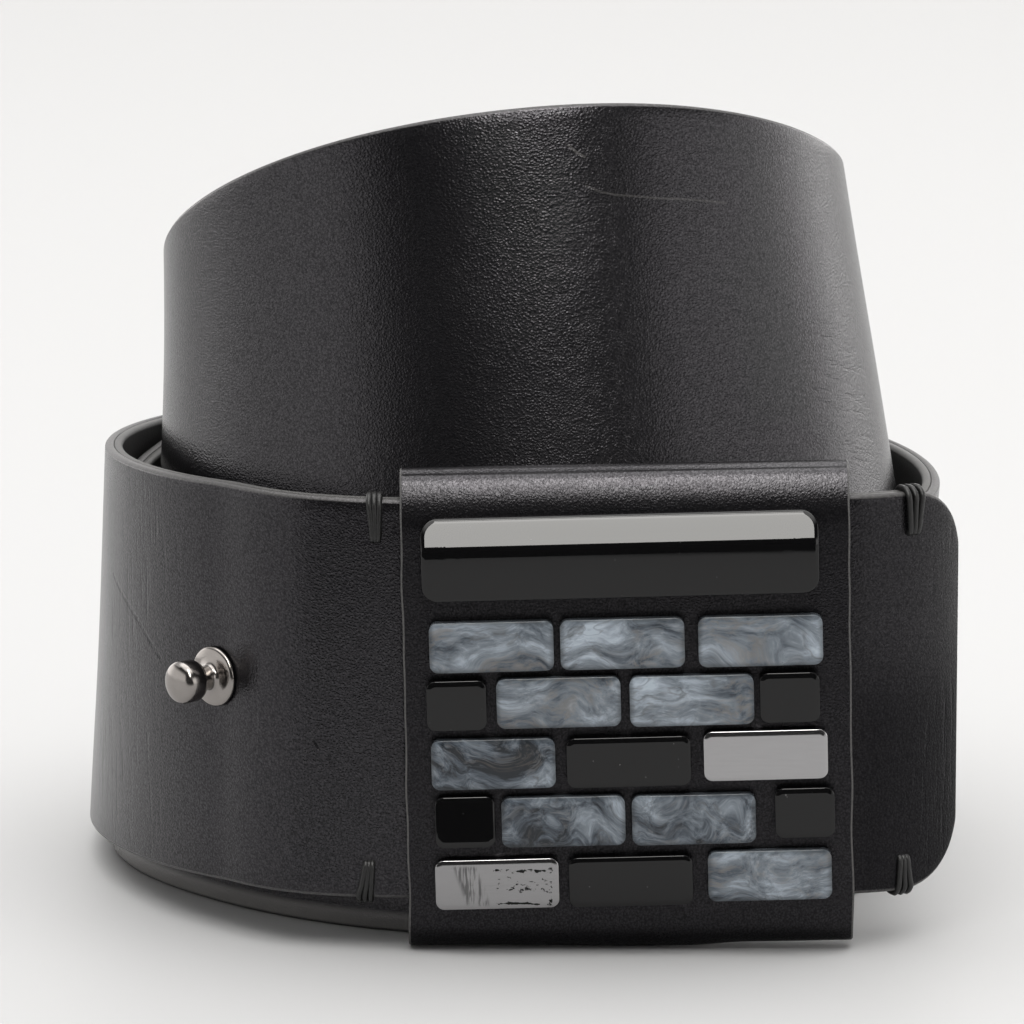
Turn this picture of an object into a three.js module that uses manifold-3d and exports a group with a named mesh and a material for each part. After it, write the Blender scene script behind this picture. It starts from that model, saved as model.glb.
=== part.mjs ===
// A wide black leather belt, coiled and standing on its edge.
// A leather sleeve with a long bar and rows of polished tiles rides on the strap near its
// free end, and a collar stud beside it fastens the belt.
// Millimetres, +Z up. The tiled face looks along -Y and the coil stands on z = 0.
// In plan the coil is measured from its middle: an angle of 0 is the front, 90 the left,
// 180 the back and 270 the right, and each further turn adds 360.

import * as THREE from 'three';
import { mergeVertices } from 'three/addons/utils/BufferGeometryUtils.js';
import Module from 'manifold-3d';

const wasm = await Module();
wasm.setup();

// The strap: two leather plies with their edges flush.
const STRAP_WIDTH = 70;
const FACE_PLY = 1.6;
const BACKING_PLY = 1.3;
const PLY_GAP = 0.3;
const STRAP_THICKNESS = FACE_PLY + PLY_GAP + BACKING_PLY;

// The straight run through the sleeve, in front of the coil's middle.
const RUN_DISTANCE = 70;
const RUN_RISE = 9;
const RUN_CLIMB = 0.7;
const RUN_LEFT = -12;
const RUN_RIGHT = 53.6;
const RUN_BLEND_END = 42;

// The free end beyond the sleeve curls back towards the coil.
const TAB_RADIUS = 22.8;
const TAB_TURN = 65;
const TAB_DROOP = 0.5;
const TAB_LEAN = 1;
const TAB_CORNER = 14;
const TAB_STEPS = [0, 0.4, 1.4, 3, 5, 7.5, 10.5, 14, 17.5, 21.5];

// The coil, a row for each 30 degrees: radius of the strap's middle, height of its
// lower edge above the floor, and lean of its upper edge towards the coil's middle.
const SECTION_STEP = 30;
const SECTIONS = [
  { angle: 0, radius: 66.5, rise: 10, lean: 0 },
  { angle: 30, radius: 78.5, rise: 10, lean: 2 },
  { angle: 60, radius: 75.5, rise: 8, lean: 0 },
  { angle: 90, radius: 73.5, rise: 5.5, lean: 3.5 },
  { angle: 120, radius: 75, rise: 2.5, lean: 5.5 },
  { angle: 150, radius: 72.5, rise: 2, lean: 2.5 },
  { angle: 180, radius: 71.5, rise: 0, lean: 0 },
  { angle: 210, radius: 70, rise: 0, lean: 0 },
  { angle: 240, radius: 69, rise: 0, lean: -1 },
  { angle: 270, radius: 70.5, rise: 0, lean: -4 },
  { angle: 300, radius: 72.5, rise: 0, lean: -7 },
  { angle: 330, radius: 65.5, rise: 0, lean: -4 },
  { angle: 360, radius: 62, rise: 0, lean: 0 },
  { angle: 390, radius: 64, rise: 0, lean: -2.5 },
  { angle: 420, radius: 68, rise: 0, lean: -4.5 },
  { angle: 450, radius: 71, rise: 0, lean: 5 },
  { angle: 480, radius: 69.5, rise: 0, lean: 4 },
  { angle: 510, radius: 65, rise: 11, lean: -1 },
  { angle: 540, radius: 65, rise: 18, lean: 0 },
  { angle: 570, radius: 65, rise: 28, lean: 0 },
  { angle: 600, radius: 63.5, rise: 44, lean: 0 },
  { angle: 630, radius: 62, rise: 55.5, lean: 10.5 },
  { angle: 660, radius: 59.5, rise: 68, lean: 18.5 },
  { angle: 690, radius: 53, rise: 75, lean: 16 },
  { angle: 720, radius: 48, rise: 74, lean: 15.5 },
  { angle: 750, radius: 52, rise: 68.5, lean: 13.5 },
  { angle: 780, radius: 59, rise: 55.5, lean: 10.5 },
  { angle: 810, radius: 63.5, rise: 37.5, lean: 2.5 },
  { angle: 840, radius: 63, rise: 23, lean: -3 },
  { angle: 870, radius: 57, rise: 12, lean: 1 },
  { angle: 900, radius: 56.5, rise: 13, lean: 0 },
];
const COIL_START = 15;
const COIL_END = 895;
const COIL_STEP = 5;

// The sleeve: leather folded round into a flat tube that the strap runs through.
const SLEEVE_WIDTH = 76.4;
const SLEEVE_HEIGHT = 83.4;
const SLEEVE_DEPTH = 8.8;
const SLEEVE_FOLD = 6.5;
const SLEEVE_WALL = 2;
const SLEEVE_X = 18.4;
const SLEEVE_Z = 42.9;
const SLEEVE_ROLL = 1.1;
const FOLD_SEGMENTS = 10;

// The tiles, glued on the sleeve's face and turned a little further than the sleeve.
const TILE_ROLL = 1.5;
const TILE_THICKNESS = 2.4;
const TILE_HEIGHT = 8.7;
const TILE_LONG = 21.2;
const TILE_SHORT = 10.2;
const TILE_CORNER = 1.5;
const TILE_BEVEL = 0.8;
const TILE_ARRIS = 0.25;
const TILE_CORNER_TURNS = [0, 30, 60, 90];
const TILE_SEAT = 0.3;
const BAR = { across: -0.8, up: 27.5, width: 67.5, height: 14, edge: 0.9, crown: 3.8, corner: 3 };
const BAR_END_STEPS = [0, 0.35, 1.2, 3];
const BAR_ARC_STEPS = 8;
const TILES = [
  { row: 1, up: 12.2, across: -23, width: TILE_LONG, finish: 'pearl' },
  { row: 1, up: 12.2, across: -0.7, width: TILE_LONG, finish: 'pearl' },
  { row: 1, up: 12.1, across: 22.8, width: TILE_LONG, finish: 'pearl' },
  { row: 2, up: 2.1, across: -29.2, width: TILE_SHORT, finish: 'black' },
  { row: 2, up: 2.2, across: -11.8, width: TILE_LONG, finish: 'pearl' },
  { row: 2, up: 2, across: 10.9, width: TILE_LONG, finish: 'pearl' },
  { row: 2, up: 2.1, across: 27.6, width: TILE_SHORT, finish: 'black' },
  { row: 3, up: -8.3, across: -23.2, width: TILE_LONG, finish: 'dark_pearl' },
  { row: 3, up: -8.5, across: -0.1, width: TILE_LONG, finish: 'black' },
  { row: 3, up: -7.9, across: 23.3, width: TILE_LONG, finish: 'steel' },
  { row: 4, up: -18.4, across: -28.3, width: TILE_SHORT, finish: 'black' },
  { row: 4, up: -18.7, across: -11.5, width: TILE_LONG, finish: 'dark_pearl' },
  { row: 4, up: -18.9, across: 10.8, width: TILE_LONG, finish: 'dark_pearl' },
  { row: 4, up: -18.2, across: 29.8, width: TILE_SHORT, finish: 'black' },
  { row: 5, up: -29.4, across: -23.1, width: TILE_LONG, finish: 'steel' },
  { row: 5, up: -29.5, across: -0.2, width: TILE_LONG, finish: 'black' },
  { row: 5, up: -29.1, across: 23.6, width: TILE_LONG, finish: 'pearl' },
];

// The collar stud, through a hole in the strap, with its flat screw behind.
const STUD_ANGLE = 42;
const STUD_UP = 1;
const STUD_LENGTH = 9.8;
const STUD_PROFILE = [
  { height: 0, radius: 5.1 },
  { height: 0.4, radius: 5.2 },
  { height: 0.9, radius: 4.8 },
  { height: 1.2, radius: 2.6 },
  { height: 2, radius: 2 },
  { height: 3.9, radius: 2 },
  { height: 4.6, radius: 3.3 },
  { height: 5.6, radius: 3.7 },
  { height: 7.6, radius: 3.7 },
  { height: 8.9, radius: 3.2 },
  { height: 9.6, radius: 2 },
];
const STUD_POST_RADIUS = 1.5;
const SCREW = { radius: 5, thickness: 1.2, edge: 0.4 };
const STUD_HOLE_RADIUS = 1.9;
const STUD_SEAT = 0.3;
const ROUND_SIDES = 24;

// The holes for the stud, in the last stretch of the strap inside the coil.
const HOLE_ANGLES = [840, 855, 870, 885];
const HOLE_RADIUS = 2.5;
const HOLE_SIDES = 16;

const UP = new THREE.Vector3(0, 0, 1);
const FRONT = new THREE.Vector3(0, -1, 0);
const radians = THREE.MathUtils.degToRad;

const FINISHES = {
  leather: { color: 0x1b1a1b, roughness: 0.45, metalness: 0 },
  backing: { color: 0x161516, roughness: 0.7, metalness: 0 },
  pearl: { color: 0x97a2ad, roughness: 0.15, metalness: 0 },
  dark_pearl: { color: 0x55606b, roughness: 0.15, metalness: 0 },
  black: { color: 0x060607, roughness: 0.05, metalness: 0 },
  steel: { color: 0xb4b2b4, roughness: 0.15, metalness: 1 },
  gunmetal: { color: 0x8d8681, roughness: 0.2, metalness: 1 },
};

function finish(name) {
  return new THREE.MeshStandardMaterial(FINISHES[name]);
}

// Vertex rings of equal length, joined by side faces and closed by a flat fan at each end.
// The two halves of a ring split their faces along opposite diagonals, so that the two
// sides of a twisted wall stay parallel.
function loft(rings) {
  const count = rings[0].length;
  const positions = rings.flat().flatMap((point) => [point.x, point.y, point.z]);
  const index = [];
  for (let ring = 0; ring + 1 < rings.length; ring += 1) {
    for (let side = 0; side < count; side += 1) {
      const a = ring * count + side;
      const b = ring * count + ((side + 1) % count);
      if (side < count / 2) {
        index.push(a, b, b + count, a, b + count, a + count);
      } else {
        index.push(a, b, a + count, b, b + count, a + count);
      }
    }
  }
  const last = (rings.length - 1) * count;
  for (let side = 1; side + 1 < count; side += 1) {
    index.push(0, side + 1, side);
    index.push(last, last + side, last + side + 1);
  }
  const geometry = new THREE.BufferGeometry();
  geometry.setAttribute('position', new THREE.Float32BufferAttribute(positions, 3));
  geometry.setIndex(index);
  return geometry;
}

function solidOf(geometry) {
  const bare = geometry.clone();
  bare.deleteAttribute('normal');
  bare.deleteAttribute('uv');
  const merged = mergeVertices(bare);
  return new wasm.Manifold(
    new wasm.Mesh({
      numProp: 3,
      vertProperties: new Float32Array(merged.attributes.position.array),
      triVerts: new Uint32Array(merged.index.array),
    }),
  );
}

function cutAway(geometry, tools) {
  const cut = tools.reduce((solid, tool) => solid.subtract(solidOf(tool)), solidOf(geometry));
  const mesh = cut.getMesh();
  const result = new THREE.BufferGeometry();
  result.setAttribute('position', new THREE.Float32BufferAttribute(mesh.vertProperties, 3));
  result.setIndex(Array.from(mesh.triVerts));
  return result;
}

// Half the height of a shape with rounded corners, at a distance in from its end.
function roundedHalf(half, corner, distance) {
  const short = Math.max(0, corner - distance);
  return half - corner + Math.sqrt(corner * corner - short * short);
}

// A column of the section table as a smooth curve over the angle (a cubic B-spline).
function sectionValue(column, angle) {
  const place = angle / SECTION_STEP;
  const row = Math.floor(place);
  const f = place - row;
  const weights = [
    (1 - f) ** 3,
    3 * f ** 3 - 6 * f ** 2 + 4,
    -3 * f ** 3 + 3 * f ** 2 + 3 * f + 1,
    f ** 3,
  ];
  const value = (offset) => {
    const index = THREE.MathUtils.clamp(row + offset, 0, SECTIONS.length - 1);
    return SECTIONS[index][column];
  };
  return weights.reduce((sum, weight, i) => sum + (weight * value(i - 1)) / 6, 0);
}

// The strap's route on the coil: it leaves the sleeve's straight run and turns into the coil.
function coilStation(angle) {
  const turn = radians(angle);
  const blend = THREE.MathUtils.smoothstep(angle, COIL_START, RUN_BLEND_END);
  const straight = angle < RUN_BLEND_END ? RUN_DISTANCE / Math.cos(turn) : 0;
  const radius = THREE.MathUtils.lerp(straight, sectionValue('radius', angle), blend);
  return {
    x: -radius * Math.sin(turn),
    y: -radius * Math.cos(turn),
    rise: THREE.MathUtils.lerp(RUN_RISE, sectionValue('rise', angle), blend),
    lean: sectionValue('lean', angle) * blend,
    half: STRAP_WIDTH / 2,
  };
}

function tabStation(fromEnd) {
  const length = TAB_RADIUS * radians(TAB_TURN);
  const share = 1 - fromEnd / length;
  const turn = radians(TAB_TURN) * share;
  return {
    x: RUN_RIGHT + TAB_RADIUS * Math.sin(turn),
    y: -RUN_DISTANCE + TAB_RADIUS * (1 - Math.cos(turn)),
    rise: RUN_RISE + RUN_CLIMB - TAB_DROOP * share * share,
    lean: TAB_LEAN * share,
    half: roundedHalf(STRAP_WIDTH / 2, TAB_CORNER, fromEnd),
  };
}

function runStation(x) {
  return { x, y: -RUN_DISTANCE, rise: RUN_RISE, lean: 0, half: STRAP_WIDTH / 2 };
}

function strapRoute() {
  const route = TAB_STEPS.map(tabStation);
  route.push(tabStation(TAB_RADIUS * radians(TAB_TURN)));
  route.push(runStation(RUN_LEFT));
  for (let angle = COIL_START; angle <= COIL_END; angle += COIL_STEP) {
    route.push(coilStation(angle));
  }
  return route;
}

// Each station's middle, with the strap's outward and upward directions there.
function strapFrames(route) {
  const middles = route.map(({ x, y, rise, lean }) => {
    const tilt = Math.abs(Math.sin(radians(lean))) * (STRAP_THICKNESS / 2);
    const height = rise + Math.cos(radians(lean)) * (STRAP_WIDTH / 2) + tilt;
    return new THREE.Vector3(x, y, height);
  });
  return route.map(({ lean, half }, i) => {
    const before = middles[Math.max(0, i - 1)];
    const after = middles[Math.min(middles.length - 1, i + 1)];
    const along = after.clone().sub(before).normalize();
    const level = UP.clone().cross(along).normalize();
    const rising = along.clone().cross(level);
    const tilt = radians(lean);
    const outward = level.clone().multiplyScalar(Math.cos(tilt));
    outward.addScaledVector(rising, Math.sin(tilt));
    const upward = rising.clone().multiplyScalar(Math.cos(tilt));
    upward.addScaledVector(level, -Math.sin(tilt));
    return { middle: middles[i], outward, upward, half };
  });
}

const frames = strapFrames(strapRoute());

function plyGeometry(inner, outer) {
  const corner = ({ middle, outward, upward, half }, depth, side) =>
    middle.clone().addScaledVector(outward, depth).addScaledVector(upward, side * half);
  const rings = frames.map((frame) => [
    corner(frame, outer, -1),
    corner(frame, outer, 1),
    corner(frame, inner, 1),
    corner(frame, inner, -1),
  ]);
  return loft(rings);
}

function frameAt(angle) {
  const step = COIL_STEP;
  const [before, here, after] = [angle - step, angle, angle + step].map(coilStation);
  return strapFrames([before, here, after])[1];
}

// A group whose own +Z points out of the strap's face at a frame, raised along its width.
function placeOnStrap(object, frame, raised) {
  object.position.copy(frame.middle).addScaledVector(frame.upward, raised);
  const across = frame.upward.clone().cross(frame.outward);
  const turn = new THREE.Matrix4().makeBasis(across, frame.upward, frame.outward);
  object.quaternion.setFromRotationMatrix(turn);
  return object;
}

function drill(radius, sides) {
  const bit = new THREE.CylinderGeometry(radius, radius, STRAP_THICKNESS * 4, sides);
  return bit.rotateX(Math.PI / 2);
}

function drilledHoles() {
  const places = HOLE_ANGLES.map((angle) => ({ angle, up: 0, radius: HOLE_RADIUS }));
  places.push({ angle: STUD_ANGLE, up: STUD_UP, radius: STUD_HOLE_RADIUS });
  return places.map(({ angle, up, radius }) => {
    const holder = placeOnStrap(new THREE.Object3D(), frameAt(angle), up);
    holder.updateMatrix();
    return drill(radius, HOLE_SIDES).applyMatrix4(holder.matrix);
  });
}

function strap() {
  const half = STRAP_THICKNESS / 2;
  const holes = drilledHoles();
  const face = new THREE.Mesh(cutAway(plyGeometry(half - FACE_PLY, half), holes), finish('leather'));
  face.name = 'strap_face';
  const backing = new THREE.Mesh(
    cutAway(plyGeometry(-half, BACKING_PLY - half), holes),
    finish('backing'),
  );
  backing.name = 'strap_backing';
  return [face, backing];
}

// An upright flat ring section: straight sides and half-oval folds at the top and bottom.
function foldedOutline(path, height, depth, fold) {
  const middle = height / 2 - fold;
  path.moveTo(depth / 2, -middle);
  path.lineTo(depth / 2, middle);
  path.absellipse(0, middle, depth / 2, fold, 0, Math.PI, false);
  path.lineTo(-depth / 2, -middle);
  path.absellipse(0, -middle, depth / 2, fold, Math.PI, 2 * Math.PI, false);
  return path;
}

function sleeve() {
  const outline = foldedOutline(new THREE.Shape(), SLEEVE_HEIGHT, SLEEVE_DEPTH, SLEEVE_FOLD);
  const passage = foldedOutline(
    new THREE.Path(),
    SLEEVE_HEIGHT - 2 * SLEEVE_WALL,
    SLEEVE_DEPTH - 2 * SLEEVE_WALL,
    SLEEVE_FOLD - SLEEVE_WALL,
  );
  outline.holes.push(passage);
  const geometry = new THREE.ExtrudeGeometry(outline, {
    depth: SLEEVE_WIDTH,
    bevelEnabled: false,
    steps: 1,
    curveSegments: FOLD_SEGMENTS,
  });
  geometry.translate(0, 0, -SLEEVE_WIDTH / 2);
  geometry.rotateY(Math.PI / 2);
  geometry.rotateX(Math.PI / 2);
  geometry.rotateY(radians(-SLEEVE_ROLL));
  const mesh = new THREE.Mesh(geometry, finish('leather'));
  mesh.name = 'sleeve';
  mesh.position.set(SLEEVE_X, -RUN_DISTANCE, SLEEVE_Z);
  return mesh;
}

// A polished tile: rounded corners, a bevelled rim and a flat table, its back at z = 0.
function tileGeometry(width) {
  const ring = (inset, height) => {
    const corner = TILE_CORNER;
    const right = width / 2 - corner;
    const top = TILE_HEIGHT / 2 - corner;
    const reach = corner - inset;
    const centres = [[right, top], [-right, top], [-right, -top], [right, -top]];
    return centres.flatMap(([x, y], quarter) =>
      TILE_CORNER_TURNS.map((degrees) => {
        const turn = radians(90 * quarter + degrees);
        return new THREE.Vector3(x + reach * Math.cos(turn), y + reach * Math.sin(turn), height);
      }),
    );
  };
  return loft([
    ring(0, 0),
    ring(0, TILE_THICKNESS - TILE_BEVEL),
    ring(TILE_ARRIS, TILE_THICKNESS - TILE_ARRIS),
    ring(TILE_BEVEL, TILE_THICKNESS),
  ]);
}

// The long bar: a crowned face on a flat back, with the ends rounded to its corners.
function barGeometry() {
  const ends = BAR_END_STEPS.map((distance) => ({
    x: BAR.width / 2 - distance,
    half: roundedHalf(BAR.height / 2, BAR.corner, distance),
  }));
  const stations = [...ends.map(({ x, half }) => ({ x: -x, half })), ...ends.reverse()];
  const section = ({ x, half }) => {
    const ring = [new THREE.Vector3(x, -half, 0), new THREE.Vector3(x, half, 0)];
    for (let step = 0; step <= BAR_ARC_STEPS; step += 1) {
      const share = 1 - (2 * step) / BAR_ARC_STEPS;
      const height = BAR.edge + (BAR.crown - BAR.edge) * (1 - share * share);
      ring.push(new THREE.Vector3(x, half * share, height));
    }
    return ring;
  };
  return loft(stations.map(section));
}

// The tiles' common plane, just off the sleeve's face, with +Z pointing out of it.
function tilePanel() {
  const panel = new THREE.Group();
  const across = new THREE.Vector3(Math.cos(radians(TILE_ROLL)), 0, Math.sin(radians(TILE_ROLL)));
  const upward = across.clone().cross(FRONT).negate();
  panel.quaternion.setFromRotationMatrix(new THREE.Matrix4().makeBasis(across, upward, FRONT));
  const face = -RUN_DISTANCE - SLEEVE_DEPTH / 2 - TILE_SEAT;
  panel.position.set(SLEEVE_X, face, SLEEVE_Z);
  const bar = new THREE.Mesh(barGeometry(), finish('black'));
  bar.name = 'tile_bar';
  bar.position.set(BAR.across, BAR.up, 0);
  panel.add(bar);
  const counts = {};
  for (const { row, up, across: place, width, finish: name } of TILES) {
    counts[row] = (counts[row] ?? 0) + 1;
    const tile = new THREE.Mesh(tileGeometry(width), finish(name));
    tile.name = `tile_r${row}_${counts[row]}_${name}`;
    tile.position.set(place, up, 0);
    panel.add(tile);
  }
  return panel;
}

// Profile points from the axis out and back, turned about the stud's own +Z.
function turned(points) {
  const profile = points.map(([radius, height]) => new THREE.Vector2(radius, height));
  return new THREE.LatheGeometry(profile, ROUND_SIDES).rotateX(Math.PI / 2);
}

// The stud stands on the strap's face and its post ends just short of the screw behind.
function stud() {
  const face = STRAP_THICKNESS / 2 + STUD_SEAT;
  const back = -face;
  const body = new THREE.Mesh(
    turned([
      [0, back + STUD_SEAT],
      [STUD_POST_RADIUS, back + STUD_SEAT],
      [STUD_POST_RADIUS, face],
      ...STUD_PROFILE.map(({ height, radius }) => [radius, face + height]),
      [0, face + STUD_LENGTH],
    ]),
    finish('gunmetal'),
  );
  body.name = 'collar_stud';
  const screw = new THREE.Mesh(
    turned([
      [0, back - SCREW.thickness],
      [SCREW.radius - SCREW.edge, back - SCREW.thickness],
      [SCREW.radius, back - SCREW.thickness + SCREW.edge],
      [SCREW.radius, back],
      [0, back],
    ]),
    finish('gunmetal'),
  );
  screw.name = 'stud_screw';
  const assembly = new THREE.Group();
  assembly.add(body, screw);
  return placeOnStrap(assembly, frameAt(STUD_ANGLE), STUD_UP);
}

const group = new THREE.Group();
group.add(...strap(), sleeve(), tilePanel(), stud());

// The origin is the middle of the belt's box, on the floor.
group.updateMatrixWorld(true);
const box = new THREE.Box3().setFromObject(group);
const middle = box.getCenter(new THREE.Vector3());
group.position.set(-middle.x, -middle.y, -box.min.z);

export default group;
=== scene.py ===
"""A wide black leather belt, coiled on its edge, with a tiled sleeve and a collar stud.

Lengths are millimetres in the coil's own frame, unless a comment says otherwise: its
middle is x = y = 0, the tiled face looks along -Y and the floor is z = 0.
"""

import math

import bmesh
import bpy
import numpy as np
from bpy.props import FloatProperty, FloatVectorProperty, PointerProperty
from mathutils import Matrix, Vector, noise


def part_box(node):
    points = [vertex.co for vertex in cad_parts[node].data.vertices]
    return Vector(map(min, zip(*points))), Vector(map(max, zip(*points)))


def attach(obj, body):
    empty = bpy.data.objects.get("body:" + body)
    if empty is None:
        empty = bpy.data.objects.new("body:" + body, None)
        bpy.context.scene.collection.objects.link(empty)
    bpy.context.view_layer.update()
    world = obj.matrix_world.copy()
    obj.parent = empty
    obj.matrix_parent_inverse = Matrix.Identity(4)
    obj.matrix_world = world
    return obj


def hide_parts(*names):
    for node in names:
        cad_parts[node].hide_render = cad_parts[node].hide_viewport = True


bl_info = {
    "name": "Coiled leather belt",
    "version": (1, 0, 0),
    "blender": (4, 5, 0),
    "location": "View3D > Sidebar > Belt",
    "description": "Builds a wide leather belt with a tiled sleeve and a collar stud",
    "category": "Add Mesh",
}

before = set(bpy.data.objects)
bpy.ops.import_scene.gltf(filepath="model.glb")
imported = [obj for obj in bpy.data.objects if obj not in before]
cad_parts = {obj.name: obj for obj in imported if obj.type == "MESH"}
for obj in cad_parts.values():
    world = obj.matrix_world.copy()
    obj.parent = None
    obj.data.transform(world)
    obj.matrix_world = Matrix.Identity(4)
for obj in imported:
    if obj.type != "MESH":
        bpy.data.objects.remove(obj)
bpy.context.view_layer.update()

MM = 0.001

# The sleeve's middle in the coil's frame, which places the coil in the part's frame.
SLEEVE_MIDDLE = Vector((18.4, -70.0, 42.9))
SLEEVE_LOW, SLEEVE_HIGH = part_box("sleeve")
SHIFT = (SLEEVE_LOW + SLEEVE_HIGH) / 2 - SLEEVE_MIDDLE * MM

# The strap's straight run through the sleeve, and the free end that curls back.
RUN_DISTANCE = 70.0
RUN_RISE = 9.0
RUN_CLIMB = 0.7
RUN_LEFT = -12.0
RUN_RIGHT = 53.6
RUN_BLEND_END = 42.0
TAB_RADIUS = 22.8
TAB_TURN = 65.0
TAB_DROOP = 0.5
TAB_LEAN = 1.0
TAB_CORNER = 14.0
TAB_LENGTH = TAB_RADIUS * math.radians(TAB_TURN)
# The tab's sections start close together, for its rounded end.
TAB_FIRST_STEP = 0.08
TAB_STEP_GROWTH = 0.16

# The coil, a row for each 30 degrees: radius, height of the lower edge, inward lean.
SECTION_STEP = 30.0
SECTIONS = (
    (66.5, 10, 0),
    (78.5, 10, 2),
    (75.5, 8, 0),
    (73.5, 5.5, 3.5),
    (75, 2.5, 5.5),
    (72.5, 2, 2.5),
    (71.5, 0, 0),
    (70, 0, 0),
    (69, 0, -1),
    (70.5, 0, -4),
    (72.5, 0, -7),
    (65.5, 0, -4),
    (62, 0, 0),
    (64, 0, -2.5),
    (68, 0, -4.5),
    (71, 0, 5),
    (69.5, 0, 4),
    (65, 11, -1),
    (65, 18, 0),
    (65, 28, 0),
    (63.5, 44, 0),
    (62, 55.5, 10.5),
    (59.5, 68, 18.5),
    (53, 75, 16),
    (48, 74, 15.5),
    (52, 68.5, 13.5),
    (59, 55.5, 10.5),
    (63.5, 37.5, 2.5),
    (63, 23, -3),
    (57, 12, 1),
    (56.5, 13, 0),
)
COIL_START = 15.0
COIL_END = 895.0
COIL_MEAN_RADIUS = 66.0

# A ply's section: spans of its face, width of the groove at the seam, gap between the plies.
PLY_SPANS = 34
PLY_GROOVE = 0.2
PLY_GAP = 0.02

# The sleeve: its flat front from SLEEVE_FLAT's lower to its upper height, a wide fold over
# the top and a tight one, SLEEVE_FOOT deep, below. The leather laps just behind the top.
SLEEVE_ROLL = 1.1
SLEEVE_WIDTH = 76.4
SLEEVE_HALF = 41.7
SLEEVE_DEPTH = 4.4
SLEEVE_WALL = 2.0
SLEEVE_FLAT = (-35.2, 31.6)
SLEEVE_TOP_TURN = 84.0
SLEEVE_TOP_POWER = 1.8
SLEEVE_FOOT = 6.5
SLEEVE_CHAMFER = 0.28
SLEEVE_POINTS = 260
LAP_STEP = 0.55
LAP_NOTCH = ((0.3, 0.78), (0.0, 0.95), (-0.25, 0.72))
LAP_MIDDLE = -2.0
LAP_RADIUS = 2.4
PASSAGE_HALF = 35.2
PASSAGE_FOLD = 4.5

# The tiles' plane is turned a little further than the sleeve, and sunk a little off its face.
TILE_ROLL = 1.5
TILE_SEAT = 0.3
TILE_HEIGHT = 8.7
TILE_LONG = 21.2
TILE_SHORT = 10.2
TILE_ARRIS = 0.14
TILE_LEAN = 0.012
TIPPED_TILE = "tile_r4_1_black"
TIPPED_LEAN = -0.125
WORN_TILE = "tile_r5_1_steel"
TILES = (
    ("tile_r1_1_pearl", -23, 12.2, TILE_LONG),
    ("tile_r1_2_pearl", -0.7, 12.2, TILE_LONG),
    ("tile_r1_3_pearl", 22.8, 12.1, TILE_LONG),
    ("tile_r2_1_black", -29.2, 2.1, TILE_SHORT),
    ("tile_r2_2_pearl", -11.8, 2.2, TILE_LONG),
    ("tile_r2_3_pearl", 10.9, 2, TILE_LONG),
    ("tile_r2_4_black", 27.6, 2.1, TILE_SHORT),
    ("tile_r3_1_dark_pearl", -23.2, -8.3, TILE_LONG),
    ("tile_r3_2_black", -0.1, -8.5, TILE_LONG),
    ("tile_r3_3_steel", 23.3, -7.9, TILE_LONG),
    ("tile_r4_1_black", -28.3, -18.4, TILE_SHORT),
    ("tile_r4_2_dark_pearl", -11.5, -18.7, TILE_LONG),
    ("tile_r4_3_dark_pearl", 10.8, -18.9, TILE_LONG),
    ("tile_r4_4_black", 29.8, -18.2, TILE_SHORT),
    ("tile_r5_1_steel", -23.1, -29.4, TILE_LONG),
    ("tile_r5_2_black", -0.2, -29.5, TILE_LONG),
    ("tile_r5_3_pearl", 23.6, -29.1, TILE_LONG),
)

# The bar: width and depth of its rim's roll-off, where the ridge bends, the lower facet's bend.
BAR = {"across": -0.8, "up": 27.5, "width": 67.5, "height": 14.0}
BAR_ARRIS = 0.3
BAR_PILLOW = (0.75, 0.26)
BAR_RIDGE = (0.13, 0.47)
BAR_LOWER_BEND = 0.35
BAR_SUM_STEPS = 24

# How a slab is divided, and the small steps at its foot.
LEAST_CORNER = 0.12
CORNER_STEPS = 7
SIDE_STEPS = (28, 14)
RIM_STEPS = 4
PILLOW_STEPS = 8
FACE_STEPS = 12
FACE_MIDDLE = 0.15
FOOT_INSET = 0.25
FOOT_RISE = 0.2

# The stud's place on the coil, and its profile as heights over the strap and radii.
STUD_ANGLE = 42.0
STUD_UP = 1.0
STUD_SEAT = 0.3
STUD_SHANK = 1.5
STUD_SIDES = 72
STUD_PROFILE = (
    (0.0, 5.1),
    (0.25, 5.25),
    (0.6, 5.15),
    (0.85, 4.75),
    (1.05, 3.6),
    (1.25, 2.6),
    (1.6, 2.15),
    (2.1, 2.0),
    (3.7, 2.0),
    (4.1, 2.3),
    (4.5, 3.0),
    (4.9, 3.5),
    (5.5, 3.7),
    (7.7, 3.72),
    (8.2, 3.6),
    (8.62, 3.32),
    (8.95, 2.9),
    (9.22, 2.3),
    (9.42, 1.6),
    (9.55, 0.8),
)
STUD_TIP = 9.6
STUD_HOLE_RADIUS = 1.9
HOLE_ANGLES = (840, 855, 870, 885)
HOLE_RADIUS = 2.5
DRILL_LENGTH = 12.0

# Each tack: x at the strap's edge, x of its hole, the hole's distance from the edge, the edge
# (1 the upper, -1 the lower) and the space between its strands, which gather at the hole.
TACKS = (
    (-25.6, -25.2, 7.0, 1, 0.95),
    (-25.9, -25.3, 6.2, -1, 0.95),
    (66.4, 66.2, 7.0, 1, 1.1),
    (65.2, 65.0, 6.0, -1, 1.0),
)
TACK_GATHER = 0.55
THREAD_SIDES = 10

# The camera, in the coil's frame: a long lens that looks down a little.
VIEW_DISTANCE = 1400.0
VIEW_ELEVATION = 12.0
VIEW_X = -1.404
VIEW_Z = 61.729
VIEW_PIXELS = 1024
VIEW_PIXELS_PER_MM = 5.5703
VIEW_SENSOR = 36.0
VIEW_FOCAL = VIEW_PIXELS_PER_MM * VIEW_DISTANCE / VIEW_PIXELS * VIEW_SENSOR

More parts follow.
